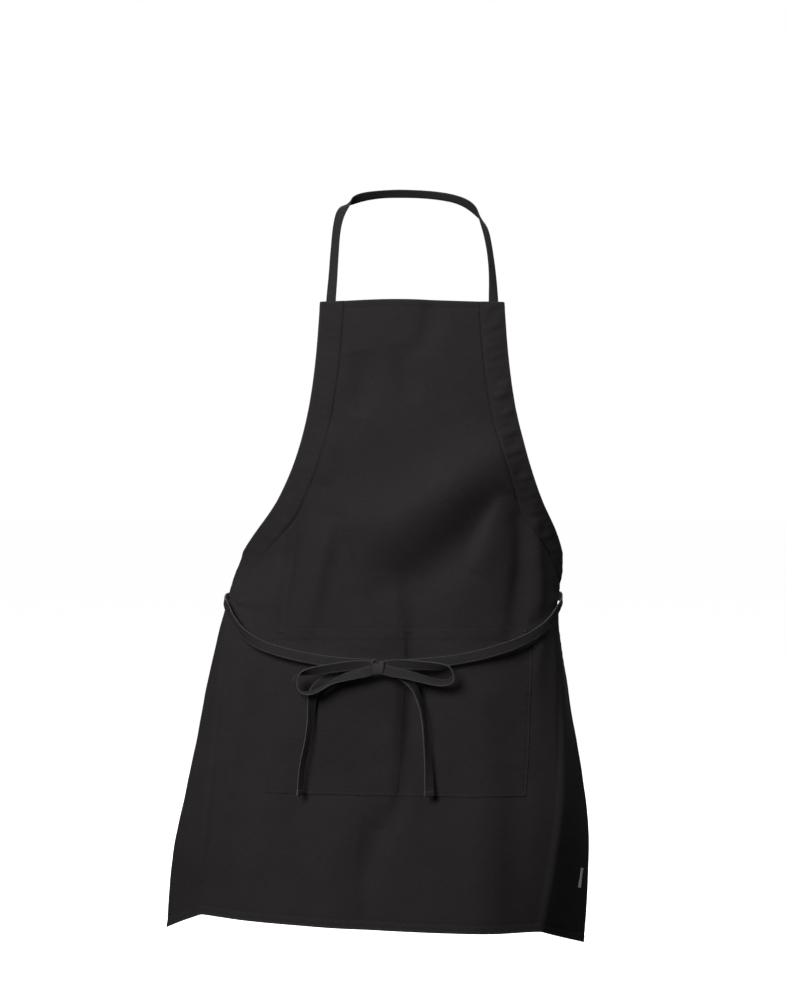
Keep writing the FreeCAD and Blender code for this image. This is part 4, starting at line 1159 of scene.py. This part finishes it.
def add_panel_stitching():
    """The rows of stitching on the panel's hems and channels."""
    face, hem_back, facing_back = -PANEL_SKIN, PANEL_SKIN + HEM_LAYER, PANEL_SKIN + CLOTH + 0.6
    top = [(a, TOP_HEM) for a in stations(-80.0, 80.0)]
    thread_row("top_hem_stitches", top, face, hem_back, ["top_hem_stitching"])
    low = PANEL_LENGTH - BOTTOM_HEM
    reach = float(half_width(low)) - 3.0
    foot = [(a, low) for a in stations(-reach, reach)]
    thread_row("bottom_hem_stitches", foot, face, hem_back, ["bottom_hem_stitching"])
    for word, side in SIDES:
        downs = stations(1.0, CORNER_DOWN + 2.0)
        path = np.stack(beside_armhole(side, downs, CHANNEL_WIDTH), -1)
        thread_row(f"channel_stitches_{word}", path, face, facing_back, [f"channel_stitching_{word}"])
        downs = stations(CORNER_DOWN + 41.0, PANEL_LENGTH - 3.0)
        path = np.stack([side * (half_width(downs) - SIDE_HEM), downs], -1)
        thread_row(f"side_hem_stitches_{word}", path, face, hem_back, [f"side_hem_stitching_{word}"])


def add_pouch_stitching():
    """The rows of stitching that hold the pouch, its division and its mouth's hem."""
    def pouch_face(across, down):
        return 0.05 - pocket_offset(across, down)

    def mouth_back(across, down):
        return 0.7 - pocket_offset(across, down) + 0.4

    high, low = POCKET_TOP + POCKET_EDGE, POCKET_BOTTOM - POCKET_EDGE
    left, right = POCKET_LEFT - POCKET_EDGE, POCKET_RIGHT - POCKET_EDGE
    mouth = POCKET_TOP + MOUTH_HEM
    rows = {
        "left": [(-left, d) for d in stations(high, low)],
        "right": [(right, d) for d in stations(high, low)],
        "bottom": [(a, low) for a in stations(-left, right)],
        "division": [(0.0, d) for d in stations(mouth, low)],
        "mouth": [(a, mouth) for a in stations(4 - left, right - 4)],
    }
    for word, path in rows.items():
        back = mouth_back if word == "mouth" else PANEL_SKIN
        thread_row(f"pouch_{word}_stitches", path, pouch_face, back, [f"pocket_{word}_stitching"])


def add_bartacks():
    """Bar tacks of close zigzag thread at the mouth's corners and at the division."""
    parts = []
    corners, turns, half_wide, half_tall = np.arange(19), 6, 3.5, 0.95
    for across in (7.0 - POCKET_LEFT, 0.0, POCKET_RIGHT - 7.0):
        a = across + np.linspace(-1, 1, len(corners)) * half_wide
        d = POCKET_TOP + 4.0 + np.where(corners % 2 == 0, half_tall, -half_tall)
        fine = np.linspace(0, corners[-1], len(corners) * turns)
        a, d = np.interp(fine, corners, a), np.interp(fine, corners, d)
        line = place(a, d, -0.42 - pocket_offset(a, d) - 0.12)
        facing = -inward(a, d)
        aside = unit(np.cross(unit(np.gradient(line, axis=0)), facing))
        rings = thread_rings(line, aside, facing, 0.3)
        parts.append((rings.reshape(-1, 3), tube_faces(*rings.shape[:2])))
    on_apron(add_mesh("pouch_bar_tacks", *joined(parts), THREAD_STUFF), "thread", "pocket_bartacks")


def add_label():
    """A small blank woven label, flat on the right hem and a little swollen at its middle."""
    ends = (0, 0.2, 0.6, 1.2)
    a = np.linspace(-LABEL_WIDTH / 2, LABEL_WIDTH / 2, 14)
    d = graded(-LABEL_HEIGHT / 2, LABEL_HEIGHT / 2, 0.9, ends, ends)
    across, down = np.meshgrid(a, d)
    swell = 0.3 * np.cos(across / LABEL_WIDTH * math.pi) * np.cos(down / LABEL_HEIGHT * math.pi)
    swell = swell + 0.12 * ripples(across, down, 9.0, 61)
    u, v = across + LABEL_ACROSS, down + LABEL_DOWN
    front = place(u, v, -1.15 - swell)
    back = place(u, v, -0.7 - swell * 0.5)
    label = cloth_sheet("blank_side_label", across, down, front, back, LABEL_STUFF, np.zeros(u.shape))
    return on_apron(label, "label", "side_label")


# ---------------------------------------------------------------- studio

# Softboxes: azimuth from straight in front and elevation in degrees, distance, size, power.
LIGHTS = [
    ("key", -27, 24, 3.2, 1.5, 98),
    ("top_right", 42, 60, 3.0, 1.2, 26),
    ("bounce", -10, -40, 3.0, 2.4, 20),
    ("back_left", -166, 30, 3.2, 1.8, 60),
    ("back_right", 168, 30, 3.2, 1.8, 45),
]
AMBIENT = 0.045


def add_softbox(name, place_at, look_at, size, power):
    data = bpy.data.lights.new(name, "AREA")
    data.shape = "DISK"
    data.size = size
    data.energy = power
    light = bpy.data.objects.new(name, data)
    light.location = place_at
    light.rotation_euler = (look_at - place_at).to_track_quat("-Z", "Y").to_euler()
    bpy.context.scene.collection.objects.link(light)


def add_lights():
    middle = (cad_low + cad_high) / 2
    for name, azimuth, elevation, away, size, power in LIGHTS:
        turn, rise = math.radians(azimuth), math.radians(elevation)
        aim = Vector((math.sin(turn) * math.cos(rise), -math.cos(turn) * math.cos(rise), math.sin(rise)))
        add_softbox(name, middle + aim * away, middle, size, power)


def add_surroundings():
    """White to look at, and only a dim light on the object."""
    world = bpy.data.worlds.new("studio")
    world.use_nodes = True
    tree = world.node_tree
    lit, seen = (node(tree, "ShaderNodeBackground", {"Color": (1, 1, 1, 1), "Strength": strength})
                 for strength in (AMBIENT, 1.0))
    path = node(tree, "ShaderNodeLightPath")
    mix = node(tree, "ShaderNodeMixShader")
    tree.links.new(path.outputs["Is Camera Ray"], mix.inputs[0])
    tree.links.new(lit.outputs[0], mix.inputs[1])
    tree.links.new(seen.outputs[0], mix.inputs[2])
    tree.links.new(mix.outputs[0], tree.nodes["World Output"].inputs[0])
    bpy.context.scene.world = world
    bpy.context.scene.view_settings.view_transform = "Standard"


def add_floor():
    """A wide pale floor, a little below the hem."""
    material, _, shader = new_material("pale_floor")
    shader.inputs["Base Color"].default_value = (0.9, 0.9, 0.9, 1)
    shader.inputs["Emission Color"].default_value = (1, 1, 1, 1)
    shader.inputs["Emission Strength"].default_value = 0.95
    reach, below = 60.0, 0.16
    corners = [(-1, -1), (1, -1), (1, 1), (-1, 1)]
    mesh = bpy.data.meshes.new("floor")
    mesh.from_pydata([(x * reach, y * reach, cad_low.z - below) for x, y in corners], [], [(0, 1, 2, 3)])
    mesh.materials.append(material)
    floor = bpy.data.objects.new("floor", mesh)
    floor.visible_diffuse = False
    floor.visible_glossy = False
    bpy.context.scene.collection.objects.link(floor)


add_camera()
add_cords()
add_panel(add_label())
add_pocket()
for word, side in SIDES:
    add_facing(word, side)
    add_channel_strap(word, side)
add_panel_stitching()
add_pouch_stitching()
add_bartacks()
add_lights()
add_surroundings()
add_floor()
